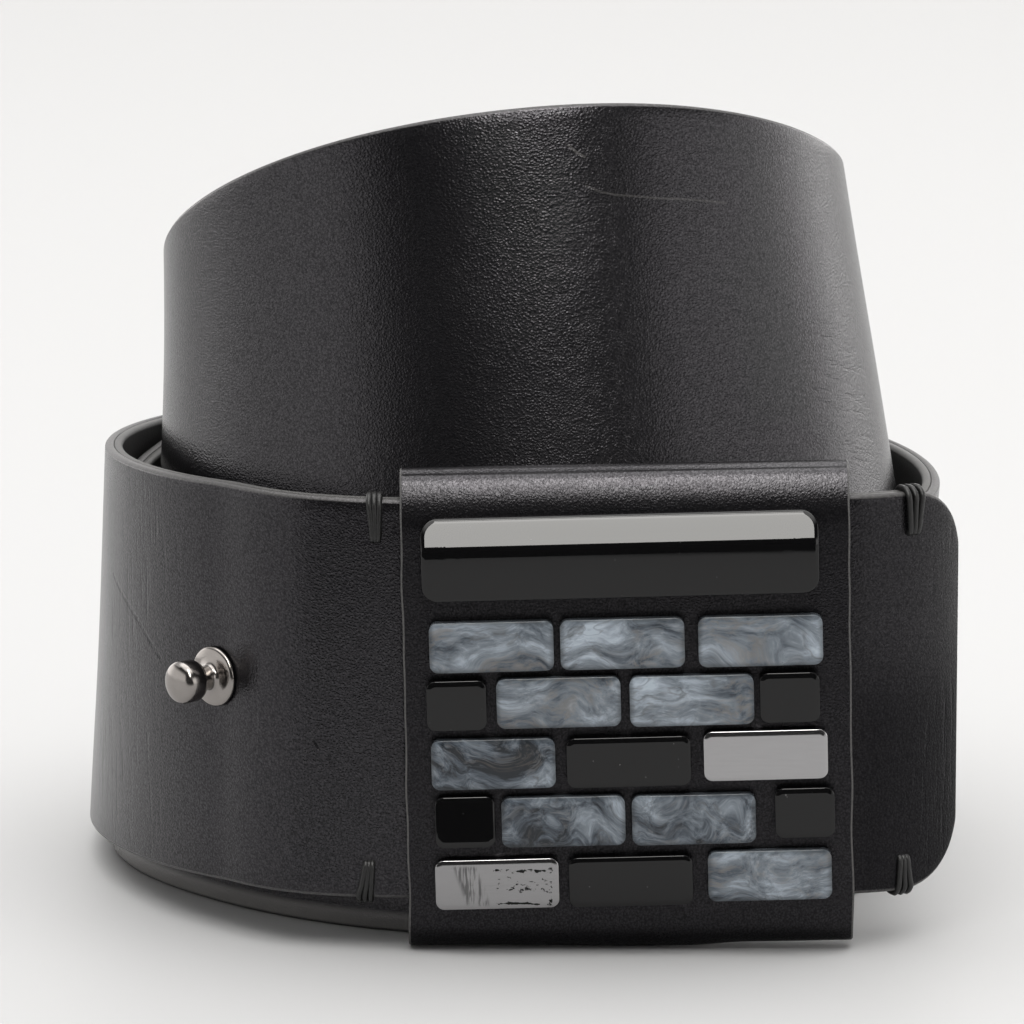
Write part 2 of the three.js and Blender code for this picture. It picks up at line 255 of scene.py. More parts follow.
# The stage, in metres of the part's frame. The card is left, right, y, low and high.
FLOOR_HALF = 5.0
CARD = (-0.32, 0.18, -0.4, 0.001, 0.13)
SOFTBOX = {
    "size": (0.25, 0.72),
    "position": (0.0, -0.67, 0.86),
    "target": (0.0, -0.06, 0.07),
    "color": (1.0, 0.985, 0.95),
}
FLOOR_LIGHT = {"size": (1.6, 1.0), "position": (0.0, -0.5, 1.0), "target": (0.0, -0.5, 0.0)}
BACK_LIGHT = {"size": (2.6, 1.4), "position": (0.0, 0.6, 0.95), "target": (0.0, 0.6, 0.0)}

# The surroundings. A wall fades over a range of angles from the front, in degrees, and the
# walls' top and the ceiling fade over a range of the direction's rise.
LEFT_WALL = (-48.0, -38.0)
RIGHT_WALL = (24.0, 34.0)
BACK_WALL = (95.0, 125.0)
WALL_TOP = (0.55, 0.3)
CEILING = (0.7, 0.9)
LEFT_WALL_GLOW = 1.2
RIGHT_WALL_GLOW = 1.55
CEILING_GLOW = 2.5
DARK_GLOW = 0.05

# The leather's grain, as cells a metre, and how far its pattern wanders, in metres.
WANDER_SCALE = 300.0
WANDER_REACH = 0.0011
PEBBLE_SCALE = 2300.0
FINE_GRAIN_SCALE = 3600.0
WRINKLE_SCALE = 1900.0
PORE_SCALE = 2700.0
HAIRLINE_SCALE = 3300.0
LEATHER_GLOSS_TINT = (0.97, 0.94, 1.0, 1.0)
WORN_TINT = (1.0, 0.97, 0.93)
RAW_TINT = (1.0, 0.98, 0.95)

# Marks on the strap's face, in metres: u is the distance along it from the free end, v the
# distance up from its middle. A range goes from where a mark starts to where it is full, and
# a pair of ranges from where it comes in to where it goes out.
TAB_CREASED = (0.03, 0.006)
TAB_DULL_U = (0.034, 0.018)
TAB_DULL_V = (0.012, -0.006)
TAB_RIM = (0.0, 0.011)
RIM_CREASED = ((0.135, 0.155), (0.2, 0.175))
BESIDE_STUD_U = ((0.121, 0.126), (0.136, 0.131))
BESIDE_STUD_V = ((-0.016, -0.008), (0.012, 0.004))
BACK_BEND_U = ((0.862, 0.87), (0.897, 0.886))
BACK_BEND_V = (0.004, -0.003)
FOOT_PALE_U = ((0.44, 0.5), (0.76, 0.68))
FOOT_PALE_Z = (0.0042, 0.0026)
SLANTING_CREASE = ((0.1716, 0.0137), (0.1655, 0.0108), (0.159, 0.0078), (0.1506, 0.0022))
NICK = ((0.1143, -0.0077), (0.1135, -0.009))
SHORT_SCRATCH = ((0.9324, 0.0279), (0.9313, 0.0266), (0.9301, 0.0257))
LONG_SCRATCH = (
    (0.93, 0.0207),
    (0.928, 0.0196),
    (0.9254, 0.019),
    (0.919, 0.0185),
    (0.9067, 0.0187),
)

# Heights in metres between which the sleeve's gloss changes, at its upper fold and its foot.
SLEEVE_FOLD_Z = (0.078, 0.084)
SLEEVE_FOOT_Z = (0.0025, 0.0055)

# The pearl's swirls: reach of the large and small eddies, in metres, strength and shift of
# the shade, and share of brown.
LIGHT_SWIRLS = {
    "eddies": 0.015,
    "ripples": 0.0025,
    "strength": 0.85,
    "shift": -0.0875,
    "brown": 0.5,
}
DARK_SWIRLS = {
    "eddies": 0.024,
    "ripples": 0.005,
    "strength": 0.95,
    "shift": -0.2025,
    "brown": 0.25,
}

# Marks on the worn tile, from its middle: two limits and their softness, in metres.
HATCHED_X = (-0.0064, -0.0026, 0.0005)
HATCHED_Z = (-0.0037, 0.0031, 0.0004)
SPECKED_X = (-0.0008, 0.0095, 0.0002)
SPECKED_Z = (-0.0038, 0.003, 0.0002)
TOP_ROW = (0.0021, 0.0027, 0.0003)
MIDDLE_ROW = (-0.0016, 0.0006, 0.0008)
FOOT_ROW = (-0.0036, -0.0031, 0.0002)
RIGHT_ROW = (0.0088, 0.0095, 0.0002)


def place(point):
    """A point of the coil's frame, in millimetres, as a point of the part's frame."""
    return Vector(point) * MM + SHIFT


# The strap's route.


def section_value(column, angle):
    """A column of the section table as a smooth curve over the angle."""
    at = angle / SECTION_STEP
    row = math.floor(at)
    f = at - row
    weights = (
        (1 - f) ** 3,
        3 * f**3 - 6 * f**2 + 4,
        -3 * f**3 + 3 * f**2 + 3 * f + 1,
        f**3,
    )
    total = 0.0
    for offset, weight in enumerate(weights, start=-1):
        index = min(max(row + offset, 0), len(SECTIONS) - 1)
        total += weight * SECTIONS[index][column] / 6
    return total


def smoothstep(value, low, high):
    """0 below low, 1 above high and a smooth rise between them."""
    t = min(max((value - low) / (high - low), 0.0), 1.0)
    return t * t * (3 - 2 * t)


def coil_station(angle, half):
    """The strap at an angle of the coil: x, y, rise, lean, half width, fullness."""
    turn = math.radians(angle)
    blend = smoothstep(angle, COIL_START, RUN_BLEND_END)
    straight = RUN_DISTANCE / math.cos(turn) if angle < RUN_BLEND_END else 0.0
    radius = straight * (1 - blend) + section_value(0, angle) * blend
    rise = RUN_RISE * (1 - blend) + section_value(1, angle) * blend
    lean = section_value(2, angle) * blend
    return (-radius * math.sin(turn), -radius * math.cos(turn), rise, lean, half, 1.0)


def tab_station(from_end, half, edge):
    """The strap at a distance from its free end, narrowed by the tab's rounded corners."""
    share = 1 - from_end / TAB_LENGTH
    turn = math.radians(TAB_TURN) * share
    short = max(0.0, TAB_CORNER - from_end)
    rounded = half - TAB_CORNER + math.sqrt(TAB_CORNER**2 - short**2)
    rim = max(0.0, 1 - from_end / edge)
    return (
        RUN_RIGHT + TAB_RADIUS * math.sin(turn),
        -RUN_DISTANCE + TAB_RADIUS * (1 - math.cos(turn)),
        RUN_RISE + RUN_CLIMB - TAB_DROOP * share * share,
        TAB_LEAN * share,
        rounded,
        math.sqrt(max(0.0, 1 - rim * rim)),
    )


def strap_route(settings):
    """Stations from the free end to the inner end: x, y, rise, lean, half width, fullness."""
    half = settings.width / MM / 2
    edge = settings.edge_radius / MM
    step = settings.step / MM
    route = []
    at = 0.0
    while at < TAB_LENGTH:
        route.append(tab_station(at, half, edge))
        at += min(step, TAB_FIRST_STEP + at * TAB_STEP_GROWTH)
    run = int((RUN_RIGHT - RUN_LEFT) / step)
    for i in range(run + 1):
        x = RUN_RIGHT + (RUN_LEFT - RUN_RIGHT) * i / run
        share = smoothstep(x, RUN_LEFT, RUN_RIGHT)
        route.append((x, -RUN_DISTANCE, RUN_RISE + RUN_CLIMB * share, 0.0, half, 1.0))
    turns = int((COIL_END - COIL_START) / 360 * 2 * math.pi * COIL_MEAN_RADIUS / step)
    for i in range(turns + 1):
        angle = COIL_START + (COIL_END - COIL_START) * i / turns
        route.append(coil_station(angle, half))
    return np.array(route)


def strap_frames(route, thickness, width):
    """Each station's middle, outward and upward directions, and distance along the strap."""
    lean = np.radians(route[:, 3])
    height = route[:, 2] + np.cos(lean) * width / 2 + np.abs(np.sin(lean)) * thickness / 2
    middle = np.column_stack([route[:, 0], route[:, 1], height])
    along = np.empty_like(middle)
    along[1:-1] = middle[2:] - middle[:-2]
    along[0] = middle[1] - middle[0]
    along[-1] = middle[-1] - middle[-2]
    along /= np.linalg.norm(along, axis=1)[:, None]
    level = np.cross(np.array([0.0, 0.0, 1.0]), along)
    level /= np.linalg.norm(level, axis=1)[:, None]
    rising = np.cross(along, level)
    cos, sin = np.cos(lean)[:, None], np.sin(lean)[:, None]
    outward = level * cos + rising * sin
    upward = rising * cos - level * sin
    steps = np.linalg.norm(np.diff(middle, axis=0), axis=1)
    distance = np.concatenate([[0.0], np.cumsum(steps)])
    return middle, outward, upward, distance


def coil_frame(angle, settings):
    """The strap's middle, outward and upward directions at an angle of the coil."""
    half = settings.width / MM / 2
    route = np.array([coil_station(angle + d, half) for d in (-2.0, 0.0, 2.0)])
    frames = strap_frames(route, settings.thickness / MM, settings.width / MM)
    return [Vector(part[1]) for part in frames[:3]]


def strap_place(angle, up, settings):
    """A matrix whose +Z leaves the strap's face at an angle of the coil, +Y up its width."""
    middle, outward, upward = coil_frame(angle, settings)
    across = upward.cross(outward)
    turn = Matrix((across, upward, outward)).transposed().to_4x4()
    turn.translation = place(middle + upward * up)
    return turn


def new_object(name, mesh):
    """An object with the mesh, in the scene."""
    piece = bpy.data.objects.new(name, mesh)
    bpy.context.scene.collection.objects.link(piece)
    return piece


def grid_mesh(name, rings, closed, uvs=None, values=None, caps=True):
    """A mesh from rings of points: rings[i][j] is joined to its neighbours by quads.

    closed rings join their last point to the first. uvs are given with one column more
    than the rings, so that the seam has its own value. values are a float for each point.
    """
    count, size = rings.shape[:2]
    verts = rings.reshape(-1, 3)
    sides = size if closed else size - 1
    faces = []
    loops = []
    for i in range(count - 1):
        for j in range(sides):
            k = (j + 1) % size
            a, b = i * size + j, i * size + k
            faces.append((a, b, b + size, a + size))
            loops.append(((i, j), (i, j + 1), (i + 1, j + 1), (i + 1, j)))
    if caps and closed:
        faces.append(tuple(reversed(range(size))))
        loops.append(tuple((0, j) for j in reversed(range(size))))
        start = (count - 1) * size
        faces.append(tuple(range(start, start + size)))
        loops.append(tuple((count - 1, j) for j in range(size)))
    mesh = bpy.data.meshes.new(name)
    mesh.from_pydata([tuple(v) for v in verts], [], faces)
    if uvs is not None:
        layer = mesh.uv_layers.new(name="lay")
        flat = [uvs[i][j] for loop in loops for i, j in loop]
        layer.data.foreach_set("uv", np.array(flat, dtype=np.float32).ravel())
    if values is not None:
        layer = mesh.attributes.new("edge", "FLOAT", "POINT")
        layer.data.foreach_set("value", np.asarray(values, dtype=np.float32).ravel())
    mesh.polygons.foreach_set("use_smooth", [True] * len(mesh.polygons))
    mesh.update()
    return mesh


def out_facing(mesh, merge=False):
    """Turns the mesh's faces outwards, after its doubles are merged where asked."""
    work = bmesh.new()
    work.from_mesh(mesh)
    if merge:
        bmesh.ops.remove_doubles(work, verts=work.verts, dist=1e-7)
    bmesh.ops.recalc_face_normals(work, faces=work.faces)
    work.to_mesh(mesh)
    work.free()


# Shader helpers.


class Shader:
    """A material or world tree being built, with one call for each node."""

    def __init__(self, owner):
        self.tree = owner.node_tree
        self.tree.nodes.clear()

    def add(self, kind, inputs=None, **options):
        """A node with its options set and its inputs linked or filled in."""
        node = self.tree.nodes.new(kind)
        for key, value in options.items():
            setattr(node, key, value)
        for key, value in (inputs or {}).items():
            self.put(value, node.inputs[key])
        return node

    def put(self, value, socket):
        """Links or sets an input."""
        if isinstance(value, bpy.types.NodeSocket):
            self.tree.links.new(value, socket)
        else:
            socket.default_value = value

    def math(self, operation, *values):
        pairs = dict(enumerate(values))
        return self.add("ShaderNodeMath", pairs, operation=operation).outputs[0]

    def product(self, first, *others):
        """Several values multiplied together."""
        for value in others:
            first = self.math("MULTIPLY", first, value)
        return first

    def vector_math(self, operation, first, second):
        inputs = {0: first, 1: second}
        return self.add("ShaderNodeVectorMath", inputs, operation=operation).outputs[0]

    def step(self, value, low, high, to_low=0.0, to_high=1.0):
        """A smooth change from to_low to to_high while the value goes from low to high."""
        inputs = {0: value, 1: low, 2: high, 3: to_low, 4: to_high}
        node = self.add("ShaderNodeMapRange", inputs, interpolation_type="SMOOTHSTEP")
        return node.outputs[0]

    def band(self, value, rise, fall):
        """A mask that comes in over one range of the value and goes out over another."""
        return self.math("MULTIPLY", self.step(value, *rise), self.step(value, *fall))

    def within(self, value, low, high, soft):
        """A mask between two limits, softened to both sides of them."""
        return self.band(value, (low - soft, low + soft), (high + soft, high - soft))

    def mix(self, factor, first, second):
        """One colour laid over another."""
        node = self.add("ShaderNodeMix", data_type="RGBA")
        for index, value in ((0, factor), (6, first), (7, second)):
            self.put(value, node.inputs[index])
        return node.outputs[2]

    def noise(self, vector, scale, detail=3.0, roughness=0.5, distortion=0.0):
        inputs = {
            "Vector": vector,
            "Scale": scale,
            "Detail": detail,
            "Roughness": roughness,
            "Distortion": distortion,
        }
        return self.add("ShaderNodeTexNoise", inputs).outputs["Fac"]

    def cells(self, vector, scale):
        """The distance from the middles of scattered cells."""
        inputs = {"Vector": vector, "Scale": scale, "Randomness": 1.0}
        return self.add("ShaderNodeTexVoronoi", inputs).outputs["Distance"]

    def mapped(self, vector, scale=(1, 1, 1), place_at=(0, 0, 0), turn=(0, 0, 0)):
        inputs = {"Vector": vector, "Scale": scale, "Location": place_at, "Rotation": turn}
        return self.add("ShaderNodeMapping", inputs).outputs[0]

    def position(self):
        """The point on the piece, which doesn't move with the object."""
        return self.add("ShaderNodeTexCoord").outputs["Object"]

    def parts(self, vector):
        """The x, y and z of a vector."""
        return self.add("ShaderNodeSeparateXYZ", {0: vector}).outputs

    def bump(self, height, distance, strength=1.0):
        inputs = {"Height": height, "Distance": distance, "Strength": strength}
        return self.add("ShaderNodeBump", inputs).outputs[0]

    def finish(self, **inputs):
        """The surface shader; an input's spaces are written as underscores."""
        named = {key.replace("_", " "): value for key, value in inputs.items()}
        surface = self.add("ShaderNodeBsdfPrincipled", named)
        self.add("ShaderNodeOutputMaterial", {"Surface": surface.outputs[0]})


def new_material(name):
    """A material, and the Shader that builds its tree."""
    material = bpy.data.materials.new(name)
    material.use_nodes = True
    return material, Shader(material)


def grey(value, tint=(1.0, 1.0, 1.0)):
    """A grey as a colour with alpha, tinted where asked."""
    return (value * tint[0], value * tint[1], value * tint[2], 1.0)


def wandering(s, vector):
    """The flat position, moved a little so that no pattern runs straight."""
    wander = s.noise(vector, WANDER_SCALE, 2.0)
    return s.vector_math("ADD", vector, s.math("MULTIPLY", wander, WANDER_REACH))


def leather_height(s, vector, creases):
    """The leather's relief, and its pebbled grain alone: 1 on a pebble, 0 round it."""
    bent = wandering(s, vector)
    pebble = s.step(s.cells(bent, PEBBLE_SCALE), 0.75, 0.1)
    fine = s.noise(bent, FINE_GRAIN_SCALE, 2.0, 0.6)
    slanted = s.mapped(bent, (1, 0.22, 1), turn=(0, 0, 0.45))
    wrinkles = s.noise(slanted, WRINKLE_SCALE, 3.0, 0.6)
    grain = s.math("MULTIPLY_ADD", fine, 0.7, s.math("MULTIPLY", pebble, 0.8))
    height = s.math("MULTIPLY_ADD", wrinkles, 0.55, grain)
    if creases is not None:
        height = s.math("ADD", height, creases)
    return height, pebble


def grain_shine(s, vector):
    """How strongly the grain reflects: less in its hollows and fine lines."""
    bent = wandering(s, vector)
    pores = s.cells(bent, PORE_SCALE)
    slanted = s.mapped(bent, (1, 0.6, 1), turn=(0, 0, -1.1))
    lines = s.noise(slanted, HAIRLINE_SCALE, 2.0, 0.6)
    shine = s.step(pores, 0.25, 0.75, 1.2, 0.7)
    return s.math("MULTIPLY", shine, s.step(lines, 0.38, 0.62, 0.82, 1.2))


def scratch(s, u, v, path, width):
    """A mask along a path of flat points on the leather."""
    mask = 0.0
    for (u0, v0), (u1, v1) in zip(path, path[1:]):
        du, dv = u1 - u0, v1 - v0
        length = du * du + dv * dv
        from_u = s.math("SUBTRACT", u, u0)
        from_v = s.math("SUBTRACT", v, v0)
        share = s.math("MULTIPLY", from_v, dv / length)
        share = s.math("MULTIPLY_ADD", from_u, du / length, share)
        share = s.math("MINIMUM", s.math("MAXIMUM", share, 0.0), 1.0)
        off_u = s.math("MULTIPLY_ADD", share, -du, from_u)
        off_v = s.math("MULTIPLY_ADD", share, -dv, from_v)
        off = s.math("MULTIPLY_ADD", off_u, off_u, s.math("MULTIPLY", off_v, off_v))
        near = s.step(s.math("SQRT", off), width * 0.3, width, 1.0, 0.0)
        mask = s.math("MAXIMUM", mask, near)
    return mask


# Materials.


def lay_and_edge(s):
    """The flat position on the leather, and the mask of its cut edges."""
    lay = s.add("ShaderNodeUVMap", uv_map="lay").outputs[0]
    edge = s.add("ShaderNodeAttribute", attribute_name="edge").outputs["Fac"]
    return lay, edge


def strap_folds(s, lay, u, v):
    """The mask of the outer turn's long slanting crease and of its nick."""
    broken = s.step(s.noise(lay, 700.0, 2.0), 0.35, 0.55, 0.3, 1.0)
    folds = s.math("MULTIPLY", scratch(s, u, v, SLANTING_CREASE, 0.0006), broken)
    return s.math("MAXIMUM", s.math("MULTIPLY", folds, 0.5), scratch(s, u, v, NICK, 0.00032))


def strap_creases(s, lay, u, v, folds):
    """The relief of the strap's creases."""
    # Fine ones run across the strap, at the free end and where the strap bends most.
    streaks = s.noise(s.mapped(lay, (1, 0.1, 1), turn=(0, 0, -0.12)), 620.0, 4.0, 0.6)
    streaks = s.step(streaks, 0.5, 0.72)
    where = s.math("MULTIPLY", s.band(u, *RIM_CREASED), 0.8)
    where = s.math("MAXIMUM", s.step(u, *TAB_CREASED), where)
    beside_stud = s.math("MULTIPLY", s.band(u, *BESIDE_STUD_U), s.band(v, *BESIDE_STUD_V))
    where = s.math("MAXIMUM", where, beside_stud)
    patches = s.step(s.noise(lay, 34.0, 2.0), 0.42, 0.6)
    where = s.math("MULTIPLY", where, s.math("MULTIPLY_ADD", patches, 0.8, 0.2))
    creases = s.product(streaks, where, -2.6)
    # Wavy ones run along the strap where the raised turn bends to the back.
    wavy = s.noise(s.mapped(lay, (0.16, 1, 1), turn=(0, 0, 0.18)), 520.0, 4.0, 0.6)
    wavy = s.math("MULTIPLY", s.step(wavy, 0.52, 0.7), s.step(v, *BACK_BEND_V))
    wavy = s.math("MULTIPLY", wavy, s.band(u, *BACK_BEND_U))
    creases = s.math("MULTIPLY_ADD", wavy, -1.2, creases)
    return s.math("MULTIPLY_ADD", folds, -4.0, creases)


def strap_color(s, lay, u, v, edge, leather):
    """The strap's colour: near black, with scuffs, scratches, a paler foot and raw edges."""
    scuff = s.noise(s.mapped(lay, (1, 5, 1), turn=(0, 0, 0.35)), 90.0, 5.0, 0.7, 0.4)
    scuff = s.math("MULTIPLY", s.step(scuff, 0.68, 0.8), 0.25)
    color = s.mix(scuff, tuple(leather) + (1.0,), grey(0.03, WORN_TINT))
    faint = s.math("MULTIPLY", scratch(s, u, v, LONG_SCRATCH, 0.00028), 0.6)
    pale = s.math("MAXIMUM", scratch(s, u, v, SHORT_SCRATCH, 0.0003), faint)
    color = s.mix(pale, color, grey(0.045, WORN_TINT))
    # The second turn is paler along its foot, where it stands on the floor in front.
    height = s.parts(s.position())[2]
    foot = s.math("MULTIPLY", s.step(height, *FOOT_PALE_Z), s.band(u, *FOOT_PALE_U))
    color = s.mix(foot, color, grey(0.16, RAW_TINT))
    fibres = s.noise(lay, 1800.0, 3.0)
    return s.mix(edge, color, s.mix(fibres, grey(0.03), grey(0.085, RAW_TINT)))


def strap_leather(settings):
    """The strap's glossy face."""
    material, s = new_material("strap_leather")
    lay, edge = lay_and_edge(s)
    u, v, _ = s.parts(lay)
    folds = strap_folds(s, lay, u, v)
    height, grain = leather_height(s, lay, strap_creases(s, lay, u, v, folds))
    height = s.math("MULTIPLY", height, s.math("SUBTRACT", 1.0, edge))
    # The free end is duller, most of all in its lower half: painted shade, its gloss lowered to
    # stand in for the shaded floor it mirrors.
    dull = s.math("MULTIPLY", s.step(u, *TAB_DULL_U), s.step(v, *TAB_DULL_V, 0.4, 0.85))
    rough = s.math("MULTIPLY_ADD", s.noise(lay, 60.0, 3.0), 0.06, settings.roughness - 0.08)
    rough = s.math("MULTIPLY_ADD", s.math("SUBTRACT", 1.0, grain), 0.05, rough)
    rough = s.math("MULTIPLY_ADD", dull, 0.12, rough)
    rough = s.math("MAXIMUM", rough, s.math("MULTIPLY", edge, 0.5))
    gloss = s.product(
        s.math("MULTIPLY_ADD", dull, -0.42, 0.52),
        s.step(u, *TAB_RIM, 0.45, 1.0),
        grain_shine(s, lay),
        s.math("MULTIPLY_ADD", folds, -0.6, 1.0),
    )
    s.finish(
        Base_Color=strap_color(s, lay, u, v, edge, settings.leather),
        Roughness=rough,
        Normal=s.bump(height, settings.grain_depth),
        Specular_IOR_Level=gloss,
        Specular_Tint=LEATHER_GLOSS_TINT,
    )
    return material


def backing_leather(settings):
    """The strap's matt backing."""
    material, s = new_material("backing_leather")
    lay, edge = lay_and_edge(s)
    nap = s.noise(lay, 900.0, 4.0, 0.7)
    height, _ = leather_height(s, lay, s.math("MULTIPLY", nap, 0.8))
    height = s.math("MULTIPLY", height, s.math("SUBTRACT", 1.0, edge))
    cloud = s.noise(lay, 45.0, 3.0)
    color = s.mix(cloud, grey(0.006), grey(0.011, (1.0, 0.97, 0.95)))
    color = s.mix(edge, color, s.mix(nap, grey(0.03), grey(0.085, RAW_TINT)))
    s.finish(
        Base_Color=color,
        Roughness=s.math("MULTIPLY_ADD", cloud, 0.12, 0.5),
        Normal=s.bump(height, settings.grain_depth, 0.8),
    )
    return material


def sleeve_leather(settings):
    """The sleeve's leather."""
    material, s = new_material("sleeve_leather")
    lay, edge = lay_and_edge(s)
    height, _ = leather_height(s, lay, None)
    height = s.math("MULTIPLY", height, s.math("SUBTRACT", 1.0, edge))
    raw = s.mix(s.noise(lay, 1500.0, 3.0), grey(0.04), grey(0.11, (1.0, 0.99, 0.96)))
    rough = s.math("MULTIPLY_ADD", s.noise(lay, 70.0, 3.0), 0.1, settings.roughness - 0.02)
    rough = s.math("MAXIMUM", rough, s.math("MULTIPLY", edge, 0.7))
    # The flat face is duller than the fold above it, and the foot is duller still: painted shade
    # there, its gloss lowered to stand in for the shaded floor it mirrors.
    up = s.parts(s.position())[2]
    gloss = s.product(
        s.step(up, *SLEEVE_FOLD_Z, 0.32, 0.55),
        s.step(up, *SLEEVE_FOOT_Z, 0.3, 1.0),
        grain_shine(s, lay),
    )
    s.finish(
        Base_Color=s.mix(edge, tuple(settings.leather) + (1.0,), raw),
        Roughness=rough,
        Normal=s.bump(height, settings.grain_depth * 0.9),
        Specular_IOR_Level=gloss,
        Specular_Tint=LEATHER_GLOSS_TINT,
    )
    return material


def pulled(s, vector, scale, reach):
    """Flowing coordinates: each point is moved by a soft noise."""
    inputs = {"Vector": vector, "Scale": scale, "Detail": 1.5, "Roughness": 0.5}
    wander = s.add("ShaderNodeTexNoise", inputs).outputs["Color"]
    away = s.vector_math("SUBTRACT", wander, (0.5,) * 3)
    away = s.add("ShaderNodeVectorMath", {0: away, "Scale": reach}, operation="SCALE")
    return s.vector_math("ADD", vector, away.outputs[0])


def pearl(name, settings, seed, dark, centre, reach):
    """Polished resin swirled like mother of pearl."""
    material, s = new_material(name)
    swirls = DARK_SWIRLS if dark else LIGHT_SWIRLS
    where = s.position()
    slant = 0.25 + 0.45 * math.sin(seed * 2.1)
    flow = s.mapped(where, place_at=(seed * 0.173, seed * 0.117, seed * 0.231))
    flow = pulled(s, flow, 62.0, swirls["eddies"])
    flow = pulled(s, flow, 170.0, swirls["ripples"])
    along = s.mapped(flow, (0.15, 1, 1), turn=(0, slant, 0))
    streaks = s.noise(along, 300.0, 6.0, 0.6)
    fibres = s.noise(along, 1300.0, 4.0, 0.7)
    clouds = s.noise(s.mapped(flow, (0.4, 1, 1)), 130.0, 3.0, 0.5)
    shade = s.math("MULTIPLY", fibres, 0.3)
    shade = s.math("MULTIPLY_ADD", streaks, 0.6 * swirls["strength"], shade)
    shade = s.math("MULTIPLY_ADD", clouds, 0.5 * swirls["strength"], shade)
    ramp = s.add("ShaderNodeValToRGB", {0: s.math("ADD", shade, swirls["shift"])})
    stops = (
        (0.36, (0.012, 0.015, 0.019)),
        (0.43, tuple(settings.pearl_deep)),
        (0.53, tuple(settings.pearl_mid)),
        (0.66, tuple(settings.pearl_light)),
    )
    elements = ramp.color_ramp.elements
    elements.remove(elements[0])
    for index, (at, tone) in enumerate(stops):
        stop = elements[0] if index == 0 else elements.new(at)
        stop.position = at
        stop.color = tone + (1.0,)
    browns = s.product(s.step(fibres, 0.46, 0.6), s.step(clouds, 0.5, 0.38), swirls["brown"])
    color = s.mix(browns, ramp.outputs[0], tuple(settings.pearl_warm) + (1.0,))
    curls = s.noise(s.mapped(flow, (0.3, 1, 1), turn=(0, slant, 0)), 330.0, 2.5, 0.5)
    curls = s.math("ABSOLUTE", s.math("SUBTRACT", curls, 0.5))
    curls = s.math("MULTIPLY", s.step(curls, 0.0, 0.03, 0.35, 0.0), s.step(clouds, 0.42, 0.56))
    color = s.mix(curls, color, grey(0.06, (1.1, 1.0, 0.88)))
    # The resin darkens towards its rim.
    x, _, z = s.parts(s.mapped(where, place_at=tuple(-c for c in centre)))
    side = s.math("SUBTRACT", s.math("ABSOLUTE", x), reach[0] - 0.0007)
    end = s.math("SUBTRACT", s.math("ABSOLUTE", z), reach[1] - 0.0006)
    rim = s.step(s.math("MAXIMUM", side, end), -0.0004, 0.0008, 0.0, 0.62)
    color = s.mix(rim, color, grey(0.03, (0.9, 1.0, 1.1)))
    s.finish(Base_Color=color, Roughness=0.2, Specular_IOR_Level=0.4)
    return material


def black_gloss():
    """Polished black resin with a little dust on it."""
    material, s = new_material("black_gloss")
    where = s.position()
    dust = s.step(s.noise(where, 1900.0, 1.0), 0.79, 0.83)
    color = s.mix(s.math("MULTIPLY", dust, 0.35), grey(0.0022, (1, 1, 1.1)), grey(0.3))
    rough = s.math("MULTIPLY_ADD", s.noise(where, 90.0, 2.0), 0.02, 0.03)
    s.finish(Base_Color=color, Roughness=rough, Specular_IOR_Level=0.41)
    return material


def worn_marks(s, where, centre):
    """Slanting scratches left of the tile's middle, and dark specks in a frame right of it."""
    near = s.mapped(where, place_at=tuple(-c for c in centre))
    x, _, z = s.parts(near)
    skewed = s.math("MULTIPLY_ADD", z, 0.35, x)
    patch = s.math("MULTIPLY", s.within(skewed, *HATCHED_X), s.within(z, *HATCHED_Z))
    slanted = s.mapped(near, (1, 1, 0.1), turn=(0, -0.5, 0))
    hatch = s.step(s.noise(slanted, 2300.0, 2.0, 0.6), 0.42, 0.58)
    hatch = s.product(hatch, patch, 0.6)
    # The specks crowd in rows along the frame's sides and thin out between them.
    specked = s.within(x, *SPECKED_X)
    rows = s.math("MAXIMUM", s.within(z, *TOP_ROW), s.within(z, *FOOT_ROW))
    rows = s.math("MAXIMUM", rows, s.math("MULTIPLY", s.within(z, *MIDDLE_ROW), 0.45))
    rows = s.math("MAXIMUM", rows, s.math("MULTIPLY", s.within(x, *RIGHT_ROW), 0.8))
    least = s.math("MULTIPLY_ADD", s.math("MULTIPLY", rows, specked), -0.2, 0.665)
    specks = s.noise(s.mapped(near, (0.55, 1, 1.1)), 1500.0, 3.0, 0.65)
    pits = s.step(s.math("SUBTRACT", specks, least), 0.0, 0.03)
    pits = s.product(pits, specked, s.within(z, *SPECKED_Z))
    return s.math("MAXIMUM", hatch, pits)


def polished_steel(worn, centre):
    """Polished metal; the worn tile is darker and marked."""
    material, s = new_material("worn_steel" if worn else "polished_steel")
    where = s.position()
    fine = s.noise(s.mapped(where, (0.2, 1, 3)), 900.0, 4.0, 0.7)
    shade = 0.8 if worn else 1.0
    color = s.mix(fine, grey(0.36 * shade, (1, 0.99, 1)), grey(0.43 * shade, (1, 0.99, 1)))
    if worn:
        color = s.mix(worn_marks(s, where, centre), color, grey(0.02))
    else:
        lines = s.noise(s.mapped(where, (1, 1, 12), turn=(0, 0.08, 0)), 260.0, 4.0, 0.8)
        lines = s.math("MULTIPLY", s.step(lines, 0.66, 0.7), 0.12)
        color = s.mix(lines, color, grey(0.3))
    rough = s.math("MULTIPLY_ADD", s.noise(where, 130.0, 3.0), 0.1, 0.08)
    s.finish(Base_Color=color, Metallic=1.0, Roughness=rough)
    return material


def gunmetal():
    """The stud's dark polished metal."""
    material, s = new_material("gunmetal")
    haze = s.noise(s.position(), 400.0, 3.0)
    color = s.mix(haze, grey(0.25, (1, 0.93, 0.88)), grey(0.33, (1, 0.94, 0.89)))
    rough = s.math("MULTIPLY_ADD", haze, 0.1, 0.13)
    s.finish(Base_Color=color, Metallic=1.0, Roughness=rough)
    return material


